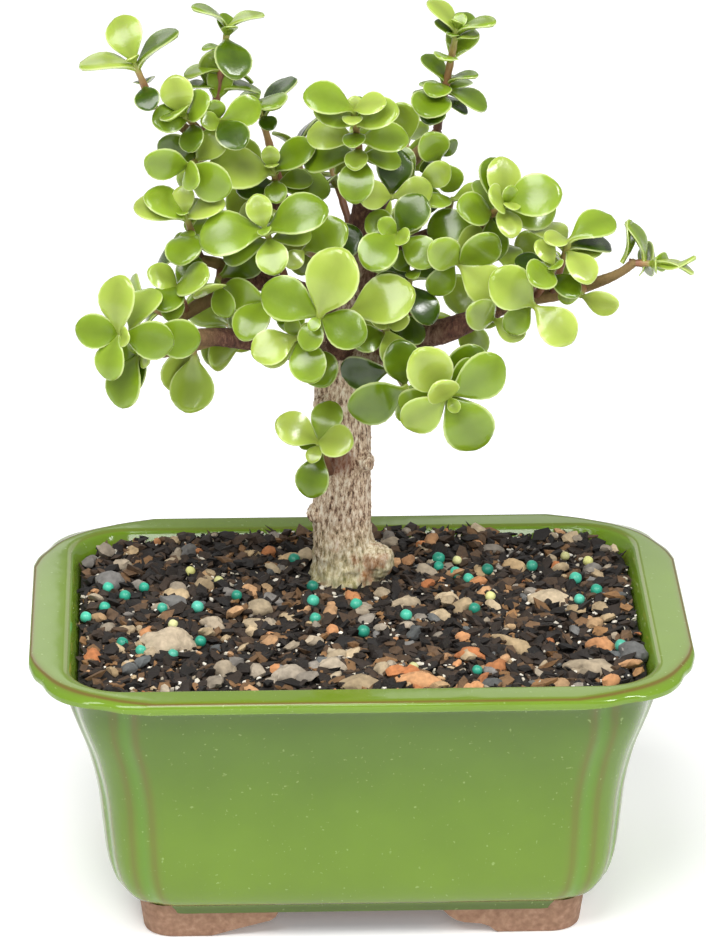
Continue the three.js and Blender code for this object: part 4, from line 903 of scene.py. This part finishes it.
# %% The shoots
SHOOTS = [
    ("crown", [2, 20, 165], [-1, 2, 189], 0,
     [[11.5, 8], [5, 6], [11.5, 10], [7, 8], [11, 11], [6, 7], [9, 12.7], [11.5, 0]],
     [58, 40, 52, 55, 80, 70, 100, 95], [0, 3, 6, 9, 12, 15, 18, 17.2]),
    ("front_left", [-15, 19, 140], [-21, 2, 161], 66,
     [[8, 4.5], [14.5, 14.5], [9.8, 6], [11, 9]], [40, 72, 85, 95], [0, 1.4, 3.5, 5.2]),
    ("mid_left", [-17, 27, 158], [-19, 17, 170.5], 78,
     [[5.5, 4.5], [11.4, 15.4], [7, 5], [9, 8], [0, 0], [11.5, 0]],
     [25, 68, 75, 85, 0, 95], [0, 1.8, 5, 7, 0, 9.2]),
    ("front_big", [-6, 3, 138], [-9, -9, 144], 112,
     [[16.5, 4], [11.5, 13.8], [8, 0]], [62, 75, 80], [0, 1, 2.8]),
    ("low_right", [16, 15, 127], [20, -14, 126], 58,
     [[10, 4], [14, 11.5], [14.5, 14], [11, 9], [0, 0], [11.5, 0]],
     [45, 86, 72, 104, 0, 75], [0, 1.2, 3, 5, 0, 12.6]),
    ("low_dark", [6, 19, 124], [11, 0, 123], 170,
     [[5, 14], [9, 11], [11.5, 0]], [76, 84, 115], [0, 1.5, 11.2]),
    ("trunk_shoot", [-6, 16, 96], [-9, 4, 108], 12,
     [[10.8, 10.2], [10, 5], [0, 5], [10.5, 0]], [54, 75, 80, 106], [0, 1, 2.8, 5]),
    ("left_crown", [-46, 15, 186], [-50, 13, 197], 24,
     [[11.3, 4.5], [12.2, 12.4], [7.5, 6.5]], [38, 62, 104], [0, 1.2, 6]),
    ("left_top", [-32, 21, 184], [-29, 22, 202.5], -15,
     [[8.5, 9.5], [5, 6], [5, 5], [3, 5], [7.8, 8.2], [0, 5], [7, 9.5], [8, 13], [0, 0], [11.5, 0]],
     [60, 37, 90, 78, 101, 60, 80, 4, 0, 115], [0, 2.5, 5, 7.5, 10, 12.5, 15, 17.5, 0, 2.7]),
    ("right_top", [19, 25, 177], [23, 20, 202], 115,
     [[4, 4], [9.3, 10], [7, 4], [6, 6], [7.5, 10], [8, 8], [4.5, 8.5], [10, 6], [11.8, 9.8],
     [7, 6], [6.5, 8]],
     [28, 52, 57, 54, 56, 51, 78, 90, 86, 88, 87],
     [0, 0.8, 1.7, 2.6, 8.3, 14, 14.6, 16, 17, 19, 20.5]),
    ("right_mid", [27.5, 16, 156.3], [33.5, 5, 165.5], 100,
     [[5, 5], [13.5, 9], [8.5, 11], [10.4, 14], [9, 10], [0, 11.5], [0, 11.5], [0, 10]],
     [30, 40, 62, 66, 96, 115, 75, 55], [0, 1.5, 2.8, 7, 8.5, 13.3, 4.4, 13.3]),
    ("right_end", [62, 3.5, 151.5], [67, 2, 151.8], 100,
     [[9.8, 9.3], [6, 5], [3, 9.8], [0, 0], [9.5, 8.5], [10, 0]],
     [6, 52, 108, 0, 77, 115], [0, 1, 1.8, 0, 7, 0]),
    ("left_mid_up", [-36, 14, 150.5], [-39, 8, 162.5], 75,
     [[6.5, 4], [10, 11.8], [5, 8], [6, 7.5], [7, 6], [5, 10.6], [11.5, 0], [11.5, 0]],
     [36, 62, 72, 108, 80, 112, 75, 35], [0, 1.3, 5, 7.5, 9, 10.5, 5.9, 2]),
    ("left_end", [-47, -2, 138], [-54, -11, 141], 90,
     [[13, 10.1], [6, 10.5], [0, 11.5], [0, 11.5], [0, 0], [11.5, 0]],
     [74, 42, 120, 115, 0, 115], [0, 1.2, 3.6, 10, 0, 0]),
    ("left_end_low", [-44, 1, 132], [-50, -6, 134], 90,
     [[4, 12], [6, 6], [2, 10], [0, 0], [0, 10]], [66, 50, 103, 0, 55], [0, 1.2, 3, 0, 3]),
    ("left_hang", [-37.5, 3, 135], [-37.5, 4.5, 130], 75,
     [[13, 0], [3, 6.5]], [22, 72], [0, 1.5]),
    ("left_hang_side", [-40, 2, 136.3], [-40.5, 4, 132], 105,
     [[0, 14], [4, 6]], [12, 60], [0, 1.5]),
    ("right_heart", [18, 21, 151], [23, 6, 151], 40,
     [[11, 12], [9, 9], [0, 0], [0, 11.5]], [66, 84, 0, 55], [0, 2.4, 0, 0]),
    ("heart_right", [13, 22, 148], [9, 6, 158], 30,
     [[6, 6], [10.5, 10], [10, 9], [11.5, 0]], [38, 70, 88, 55], [0, 2.2, 4.4, 0]),
    ("heart_low", [12, 18, 130], [12, 8, 148], 60,
     [[6, 5], [11.8, 9], [10, 10.5]], [38, 75, 88], [0, 2.2, 4.4]),
    ("front_big_back", [-2, 14, 131], [-2, 3, 140], 158,
     [[15.5, 6]], [74], [0]),
    ("front_left_back", [-8, 24, 146], [-12, 10, 153], -32,
     [[8, 11.3], [0, 0], [11.5, 0]], [72, 0, 75], [0, 0, 13.8]),
    ("front_low", [-9, 16, 126], [-14, -4, 137], -30,
     [[10.6, 5], [5, 11], [0, 10], [8, 9], [0, 0], [0, 11.5]],
     [68, 70, 84, 90, 0, 55], [0, 1.8, 3.6, 5.4, 0, 20]),
    ("right_round", [5, 19, 123], [7, 6, 136], 0,
     [[7, 7], [10, 9.5], [9, 9]], [40, 75, 88], [0, 2.4, 4.8]),
    ("left_round", [-12, 19, 139], [-20, 6, 142], 10,
     [[10.5, 7], [0, 11.5]], [70, 35], [0, 0]),
    ("left_crown_side", [-33, 21, 176], [-39, 12, 185], 60,
     [[9.5, 9], [9.5, 9], [8, 7], [9, 6]], [24, 48, 72, 90], [0, 2.3, 4.6, 6.9]),
    ("left_drop", [-32, 22, 173], [-38, 10, 174], 20,
     [[11, 9], [11, 7], [11.5, 0], [0, 0], [10.5, 0]], [35, 80, 75, 0, 55], [0, 3, 0, 0, 7.7]),
    ("left_top_low", [-33, 21, 181], [-31, 14, 183], -20,
     [[7, 9.5], [6, 6], [0, 0], [10, 0]], [72, 50, 0, 35], [0, 2, 0, 0]),
    ("mid_small", [-16, 28, 158.8], [-22, 28, 182], 70,
     [[12, 6.5], [4, 4], [5.2, 5.6], [11.5, 0]], [68, 50, 106, 55], [0, 1.4, 2.8, 3.4]),
    ("mid_dark", [-10, 28, 151], [-13, 36, 168], 0,
     [[10.5, 7], [8, 8]], [42, 75], [0, 3]),
    ("mid_under", [-11, 28, 152], [-17, 16, 160], 0,
     [[11, 8]], [75], [0]),
    ("crown_right", [6, 28, 160], [8, 12, 165], 10,
     [[9, 9], [10.5, 8]], [60, 85], [0, 2.5]),
    ("crown_drop", [11, 28, 167], [14, 16, 167], 150,
     [[8, 11.8], [9, 8]], [70, 80], [0, 2.5]),
    ("right_top_low", [16, 26, 173], [19, 20, 171], 60,
     [[10, 8], [6, 7]], [60, 80], [0, 2.5]),
    ("right_inner", [20, 20, 154], [22, 18, 162], 20,
     [[9, 9]], [60], [0]),
    ("right_upper", [45, 9, 142.5], [48, 3, 157], -5,
     [[7, 11.5], [11, 10], [10, 6], [0, 0], [0, 11.5]], [70, 88, 65, 0, 95], [0, 3, 7, 0, 2.3]),
    ("right_rosette", [41, 10, 141], [44.5, 0, 152], 60,
     [[8, 5], [12, 11], [8.5, 8]], [35, 54, 69], [0, 2.2, 4.4]),
    ("right_under", [37, 11, 140], [40, -1, 143], 50,
     [[13, 11.5], [10, 8]], [62, 85], [0, 2.2]),
    ("right_between", [33, 12, 138], [35, 6, 148], 100,
     [[9, 8]], [62], [0]),
    ("right_hang", [30, 13, 136], [31, 4, 138], 30,
     [[10, 8]], [60], [0]),
    ("right_outer_low", [52, 7, 145], [51, 3, 144], 0,
     [[5, 9]], [70], [0]),
    ("left_mid_down", [-39, 13, 137], [-41, 5, 146], 10,
     [[8, 11.7], [9, 7], [0, 0], [10, 0]], [42, 80, 0, 55], [0, 3, 0, 0]),
    ("left_twig", [-31, 15, 147], [-32, 8, 146], 60,
     [[10, 8], [11.5, 0]], [50, 115], [0, 3]),
    ("left_shade", [-22, 10, 131], [-26, 12, 130], 10,
     [[10, 10]], [60], [0]),
    ("left_fork_up", [-41, 12, 136], [-48, 12, 139], 20,
     [[9, 9], [8, 8]], [55, 80], [0, 3]),
    ("back_left", [-17, 28, 158], [-22, 44, 159], 30,
     [[6, 6], [11, 10], [10, 9]], [35, 62, 84], [0, 2.8, 5.6]),
    ("back_high", [0, 26, 150], [-6, 42, 166], 60,
     [[6, 6], [10, 11], [10, 9], [9, 9]], [35, 62, 84, 90], [0, 3.2, 6.4, 9.6]),
    ("back_right", [9, 28, 163], [13, 44, 168], 10,
     [[6, 6], [10, 10], [9, 9]], [35, 62, 84], [0, 3, 6]),
    ("back_mid", [4, 25, 143], [9, 48, 145], 40,
     [[6, 6], [11, 10], [10, 10]], [35, 62, 84], [0, 3, 6]),
    ("back_heart", [-4, 26, 142], [-11, 50, 142], 0,
     [[6, 6], [11, 10], [10, 10]], [35, 62, 84], [0, 3, 6]),
    ("back_low_right", [20, 16, 131], [27, 42, 124], 20,
     [[6, 6], [11, 10], [10, 9]], [35, 62, 84], [0, 3, 6]),
    ("back_low_left", [-21, 11, 131], [-30, 38, 125], 50,
     [[6, 6], [11, 10], [10, 9]], [35, 62, 84], [0, 3, 6]),
    ("back_low", [-2, 27, 121], [0, 50, 122], 70,
     [[6, 6], [11, 10], [10, 10]], [35, 62, 84], [0, 3, 6]),
    ("back_far_right", [39, 11, 140], [44, 32, 140], 30,
     [[6, 6], [10, 9], [9, 8]], [35, 62, 84], [0, 3, 6]),
]

# %% [markdown]
# ## Keeping leaves clear of each other
# Leaves are set in the order of the list. One that would touch another shoot or the wood is bent
# or turned a little, then made shorter, and is left out where nothing clears it: the same rule
# as the solids follow, so that every leaf lies on its own solid.

# %% Placing the leaves
SAMPLES_ALONG = [0.16, 0.3, 0.44, 0.58, 0.72, 0.85, 0.97]
SAMPLES_ACROSS = [-1, -0.5, 0, 0.5, 1]
LEAF_CLEARANCE = 1.7
EDGE_CLEARANCE = 0.6
WOOD_CLEARANCE = 1.1
SOLID_STEM_RADIUS = 1.3
SOLID_STEM_TIP_RADIUS = 1.05
BENDS = [(0, 0), (8, 0), (-8, 0), (0, 10), (0, -10), (12, 10), (12, -10), (-12, 10), (-12, -10), (18, 0), (-18, 0),
         (0, 20), (0, -20), (20, 20), (20, -20), (-20, 20), (-20, -20), (28, 0), (-28, 0)]
SIZES = [1, 0.85, 0.72]

def stem_frame(axis):
    reference = (0, 0, 1) if abs(axis[2]) < 0.95 else (0, -1, 0)
    side = np.cross(axis, reference)
    side /= np.linalg.norm(side)
    return side, np.cross(side, axis)

def leaves_of(shoot):
    name, root, tip, roll, pairs, opens, backs = shoot
    end = np.array(tip, dtype=float)
    axis = end - np.array(root, dtype=float)
    axis /= np.linalg.norm(axis)
    side, up = stem_frame(axis)
    leaves = []
    for i, pair in enumerate(pairs):
        turn, spread = math.radians(roll + 90 * i), math.radians(opens[i])
        outward = side * math.cos(turn) + up * math.sin(turn)
        for sign, length in zip((1, -1), pair):
            if length:
                along = axis * math.cos(spread) + outward * sign * math.sin(spread)
                normal = axis - along * (axis @ along)
                normal /= np.linalg.norm(normal)
                leaves.append({"name": name, "base": end - axis * backs[i], "along": along, "normal": normal,
                               "length": length * LEAF_GROWTH, "share": i / max(len(pairs) - 1, 1)})
    return leaves

def bent_leaf(leaf, bend, turn, size):
    b, s = math.radians(bend), math.radians(turn)
    along = leaf["along"] * math.cos(b) + leaf["normal"] * math.sin(b)
    normal = leaf["normal"] * math.cos(b) - leaf["along"] * math.sin(b)
    along = along * math.cos(s) + np.cross(normal, along) * math.sin(s)
    across = np.cross(normal, along)
    return dict(leaf, along=along, normal=normal, across=across, length=leaf["length"] * size)

def samples_of(leaf):
    rows = []
    for t in SAMPLES_ALONG:
        for across in SAMPLES_ACROSS:
            rows.append(leaf["base"] + leaf["along"] * leaf["length"] * t
                        + leaf["normal"] * leaf["length"] * leaf_rise(t)
                        + leaf["across"] * across * half_width(t) * leaf["length"] * LEAF_WIDTH)
    return np.array(rows)

def touches_leaf(samples, leaf):
    offset = samples - leaf["base"]
    t = offset @ leaf["along"] / leaf["length"]
    across = np.abs(offset @ leaf["across"])
    inside = (t >= 0.02) & (t <= 1.05)
    inside &= across <= half_width(np.clip(t, 0, 0.97)) * leaf["length"] * LEAF_WIDTH + EDGE_CLEARANCE
    return bool((inside & (np.abs(offset @ leaf["normal"] - leaf_rise(t) * leaf["length"]) < LEAF_CLEARANCE)).any())

STEM_ROWS = {shoot[0]: list(shoot[1]) + [SOLID_STEM_RADIUS] + list(shoot[2]) + [SOLID_STEM_TIP_RADIUS]
             for shoot in SHOOTS}
# The solids' trunk starts at the soil, and its buried foot touches no leaf.
WOOD_ROWS = segments_of([TRUNK[2:]] + LIMBS)

def touches_wood(samples, name):
    others = [row for other, row in STEM_ROWS.items() if other != name]
    for row in list(WOOD_ROWS) + [np.array(row, dtype=float) for row in others]:
        run = row[4:7] - row[:3]
        share = np.clip((samples - row[:3]) @ run / (run @ run), 0, 1)
        away = np.linalg.norm(samples - row[:3] - share[:, None] * run, axis=1)
        if (away < row[3] + share * (row[7] - row[3]) + WOOD_CLEARANCE).any():
            return True
    return False

def clear_leaf(wanted, placed):
    for size in SIZES:
        for bend, turn in BENDS:
            leaf = bent_leaf(wanted, bend, turn, size)
            leaf["samples"] = samples_of(leaf)
            near = [other for other in placed if other["name"] != leaf["name"]
                    and np.linalg.norm(leaf["base"] - other["base"]) < leaf["length"] + other["length"] + 2]
            if any(touches_leaf(leaf["samples"], other) or touches_leaf(other["samples"], leaf) for other in near):
                continue
            if not touches_wood(leaf["samples"], leaf["name"]):
                return leaf
    return None

placed_leaves = []
for shoot in SHOOTS:
    for wanted in leaves_of(shoot):
        leaf = clear_leaf(wanted, placed_leaves)
        if leaf:
            placed_leaves.append(leaf)
print("leaves:", len(placed_leaves))

# %% [markdown]
# ## Leaf and stem meshes
# Every leaf is its own copy of the pattern, scaled to its length and laid on its own axes, with
# a little curl of its own. Four numbers go with each point: how near the margin it is, the tone
# of its leaf, whether it is the upper face, and how far along the leaf it lies.

# %% Leaf and stem meshes
def stem_arrays(root, tip, sides=8):
    start, end = np.array(root, dtype=float), np.array(tip, dtype=float)
    axis = (end - start) / np.linalg.norm(end - start)
    side, up = stem_frame(axis)
    length = np.linalg.norm(end - start)
    rings = max(4, int(length / 1.5))
    points, values = [], []
    for i in range(rings + 2):
        share = min(i / rings, 1)
        swell = 1 + 0.1 * math.cos(share * length / 2.4 * 2 * math.pi)
        radius = (STEM_RADIUS + (STEM_TIP_RADIUS - STEM_RADIUS) * share) * swell * (0.55 if i > rings else 1)
        centre = start + axis * (length * share + (STEM_TIP_LENGTH if i > rings else 0))
        for j in range(sides):
            angle = 2 * math.pi * j / sides
            points.append(centre + (side * math.cos(angle) + up * math.sin(angle)) * radius)
            values.append((share, 0.5, 0.5, 1))
    faces = []
    for i in range(rings + 1):
        for j in range(sides):
            a, b = i * sides + j, i * sides + (j + 1) % sides
            faces.append((a, a + sides, b + sides, b))
    faces.append(tuple(range(sides)))
    faces.append(tuple(reversed(range((rings + 1) * sides, (rings + 2) * sides))))
    return np.array(points), faces, np.array(values)

# How much lighter or deeper than the others the leaves of a shoot are. The deeper shoots sit low or deep inside the
# crown, and their darkness is painted shade.
SHOOT_TONES_AND_PAINTED_SHADE = {"low_dark": -0.35, "mid_dark": -0.4, "left_hang": -0.35, "left_hang_side": -0.35, "trunk_shoot": 0.1,
          "heart_right": -0.2, "heart_low": -0.3, "left_shade": -0.4, "left_end_low": -0.2}

BOX_LOW, BOX_HIGH = [np.array(corner) / MM for corner in cad_box]

def leaf_arrays(leaf, draw):
    points = LEAF_POINTS.copy()
    curl = draw(-0.05, 0.07)
    twist = draw(-0.12, 0.12)
    points[:, 2] += curl * points[:, 0] ** 2 - 0.5 * curl * points[:, 0] + twist * points[:, 1] * points[:, 0]
    points[:, 1] *= draw(0.94, 1.05)
    basis = np.array([leaf["along"], leaf["across"], leaf["normal"]])
    world = np.clip(leaf["base"] + points @ basis * leaf["length"], BOX_LOW, BOX_HIGH)
    s = np.abs(LEAF_PLACE[:, 1])
    t = LEAF_PLACE[:, 0]
    margin = np.maximum(s, np.clip((t - 0.85) / 0.15, 0, 1) ** 1.5)
    tone = 0.9 - 0.55 * leaf["share"] + 0.75 * (draw() - 0.5) + SHOOT_TONES_AND_PAINTED_SHADE.get(leaf["name"], 0)
    # Leaves farther back are darker: partly because they are older, and partly as painted shade.
    tone -= 0.3 * min(max((leaf["base"][1] - 4) / 20, 0), 1)
    tone = min(max(tone, 0), 1)
    values = np.stack([margin, np.full_like(t, tone), LEAF_UPPER, t], axis=1)
    return world, LEAF_FACES, values

def shoot_piece(shoot):
    name, root, tip = shoot[:3]
    draw = random_from(sum(ord(letter) * (i + 3) for i, letter in enumerate(name)))
    stem_points, stem_faces, stem_values = stem_arrays(root, tip)
    parts = [(stem_points, stem_faces, stem_values)]
    parts += [leaf_arrays(leaf, draw) for leaf in placed_leaves if leaf["name"] == name]
    points, faces, values, start = [], [], [], 0
    for part_points, part_faces, part_values in parts:
        points.append(part_points)
        faces += [tuple(index + start for index in face) for face in part_faces]
        values.append(part_values)
        start += len(part_points)
    mesh = bpy.data.meshes.new(name + "_shoot")
    mesh.from_pydata((np.concatenate(points) * MM).tolist(), [], faces)
    layer = mesh.color_attributes.new("leaf", "FLOAT_COLOR", "POINT")
    layer.data.foreach_set("color", np.concatenate(values).ravel())
    piece = bpy.data.objects.new(name + "_shoot", mesh)
    bpy.context.scene.collection.objects.link(piece)
    finish_piece(piece, [leaf_skin, stem_skin], [name + "_leaves"], 50)
    for face in mesh.polygons:
        face.material_index = 1 if face.index < len(stem_faces) else 0
    select_only(piece)
    bpy.ops.object.mode_set(mode="EDIT")
    bpy.ops.mesh.select_all(action="SELECT")
    bpy.ops.mesh.normals_make_consistent(inside=False)
    bpy.ops.object.mode_set(mode="OBJECT")
    return piece

# %% [markdown]
# ## Leaf skin
# Fleshy leaves are waxy outside and full of water inside. The skin is smooth with a soft
# highlight, light passes a little way through, the thin margin is a pale yellow-green, and the
# lower face is duller. Older leaves are a deeper green.

# %% Leaf skin
leaf_skin, tree, shader = new_material("waxy jade leaf")
place = add_node(tree, "TexCoord")
numbers = attribute_node(tree, "leaf")
parts = add_node(tree, "SeparateColor", links=[("Color", numbers, "Color")])
blotches = add_node(tree, "TexNoise", inputs={"Scale": 220, "Detail": 3}, links=[("Vector", place, "Object")])
tone_mix = add_node(tree, "Math", {"operation": "MULTIPLY_ADD"}, {1: 0.25, 2: -0.12}, [(0, blotches, "Fac")])
tone_sum = add_node(tree, "Math", {"operation": "ADD"}, links=[(0, parts, "Green"), (1, tone_mix, "Value")])
flesh = ramp_node(tree, tone_sum, "Value", [(0, "#334c05"), (0.25, "#607a0e"), (0.6, "#7f9926"), (1, "#a2b44c")])
under = add_node(tree, "Mix", {"data_type": "RGBA"}, {"B": linear("#8a9e38"), "Factor": 0.5}, [("A", flesh, "Color")])
faces_mix = add_node(tree, "Mix", {"data_type": "RGBA"},
                     links=[("Factor", parts, "Blue"), ("A", under, "Result"), ("B", flesh, "Color")])
# The blade is deepest along its middle and paler toward the edge.
depth = add_node(tree, "MapRange", inputs={"From Min": 0.1, "From Max": 0.9, "To Min": 0.82, "To Max": 1.14},
                 links=[("Value", parts, "Red")])
blade = add_node(tree, "HueSaturation", links=[("Color", faces_mix, "Result"), ("Value", depth, "Result")])
margin = ramp_node(tree, parts, "Red", [(0.88, "#000000"), (0.98, "#ffffff")])
margin_share = add_node(tree, "Math", {"operation": "MULTIPLY"}, {1: 0.6}, [(0, margin, "Color")])
edged = add_node(tree, "Mix", {"data_type": "RGBA"}, {"B": linear("#d2dd9a")},
                 [("Factor", margin_share, "Value"), ("A", blade, "Color")])
foot = ramp_node(tree, numbers, "Alpha", [(0, "#ffffff"), (0.22, "#000000")])
foot_share = add_node(tree, "Math", {"operation": "MULTIPLY"}, {1: 0.5}, [(0, foot, "Color")])
footed = add_node(tree, "Mix", {"data_type": "RGBA"}, {"B": linear("#9aa24a")},
                  [("Factor", foot_share, "Value"), ("A", edged, "Result")])
tree.links.new(footed.outputs["Result"], shader.inputs["Base Color"])
shader.inputs["Roughness"].default_value = 0.22
shader.inputs["IOR"].default_value = 1.5
shader.inputs["Specular IOR Level"].default_value = 0.6
shader.inputs["Subsurface Weight"].default_value = 0.12
shader.inputs["Subsurface Radius"].default_value = (0.5, 1.0, 0.15)
shader.inputs["Subsurface Scale"].default_value = 0.0012
pores = add_node(tree, "TexNoise", inputs={"Scale": 1400, "Detail": 2}, links=[("Vector", place, "Object")])
bump = add_node(tree, "Bump", inputs={"Strength": 0.12, "Distance": 0.0002}, links=[("Height", pores, "Fac")])
tree.links.new(bump.outputs["Normal"], shader.inputs["Normal"])

# Young stems are green at the tip and redden as they harden.
stem_skin, tree, shader = new_material("reddish jade stem")
place = add_node(tree, "TexCoord")
numbers = attribute_node(tree, "leaf")
parts = add_node(tree, "SeparateColor", links=[("Color", numbers, "Color")])
rings_of_scars = add_node(tree, "TexNoise", inputs={"Scale": 600, "Detail": 4}, links=[("Vector", place, "Object")])
stem_tone = ramp_node(tree, parts, "Red", [(0, "#64402f"), (0.45, "#8a5c40"), (0.8, "#98804a"), (1, "#93a048")])
mottled = add_node(tree, "Mix", {"data_type": "RGBA", "blend_type": "OVERLAY"}, {"Factor": 0.4},
                   [("A", stem_tone, "Color"), ("B", rings_of_scars, "Fac")])
tree.links.new(mottled.outputs["Result"], shader.inputs["Base Color"])
shader.inputs["Roughness"].default_value = 0.5
bump = add_node(tree, "Bump", inputs={"Strength": 0.4, "Distance": 0.0003},
                links=[("Height", rings_of_scars, "Fac")])
tree.links.new(bump.outputs["Normal"], shader.inputs["Normal"])

shoots = [shoot_piece(shoot) for shoot in SHOOTS]
print("shoots:", len(shoots), "faces:", sum(len(piece.data.polygons) for piece in shoots))
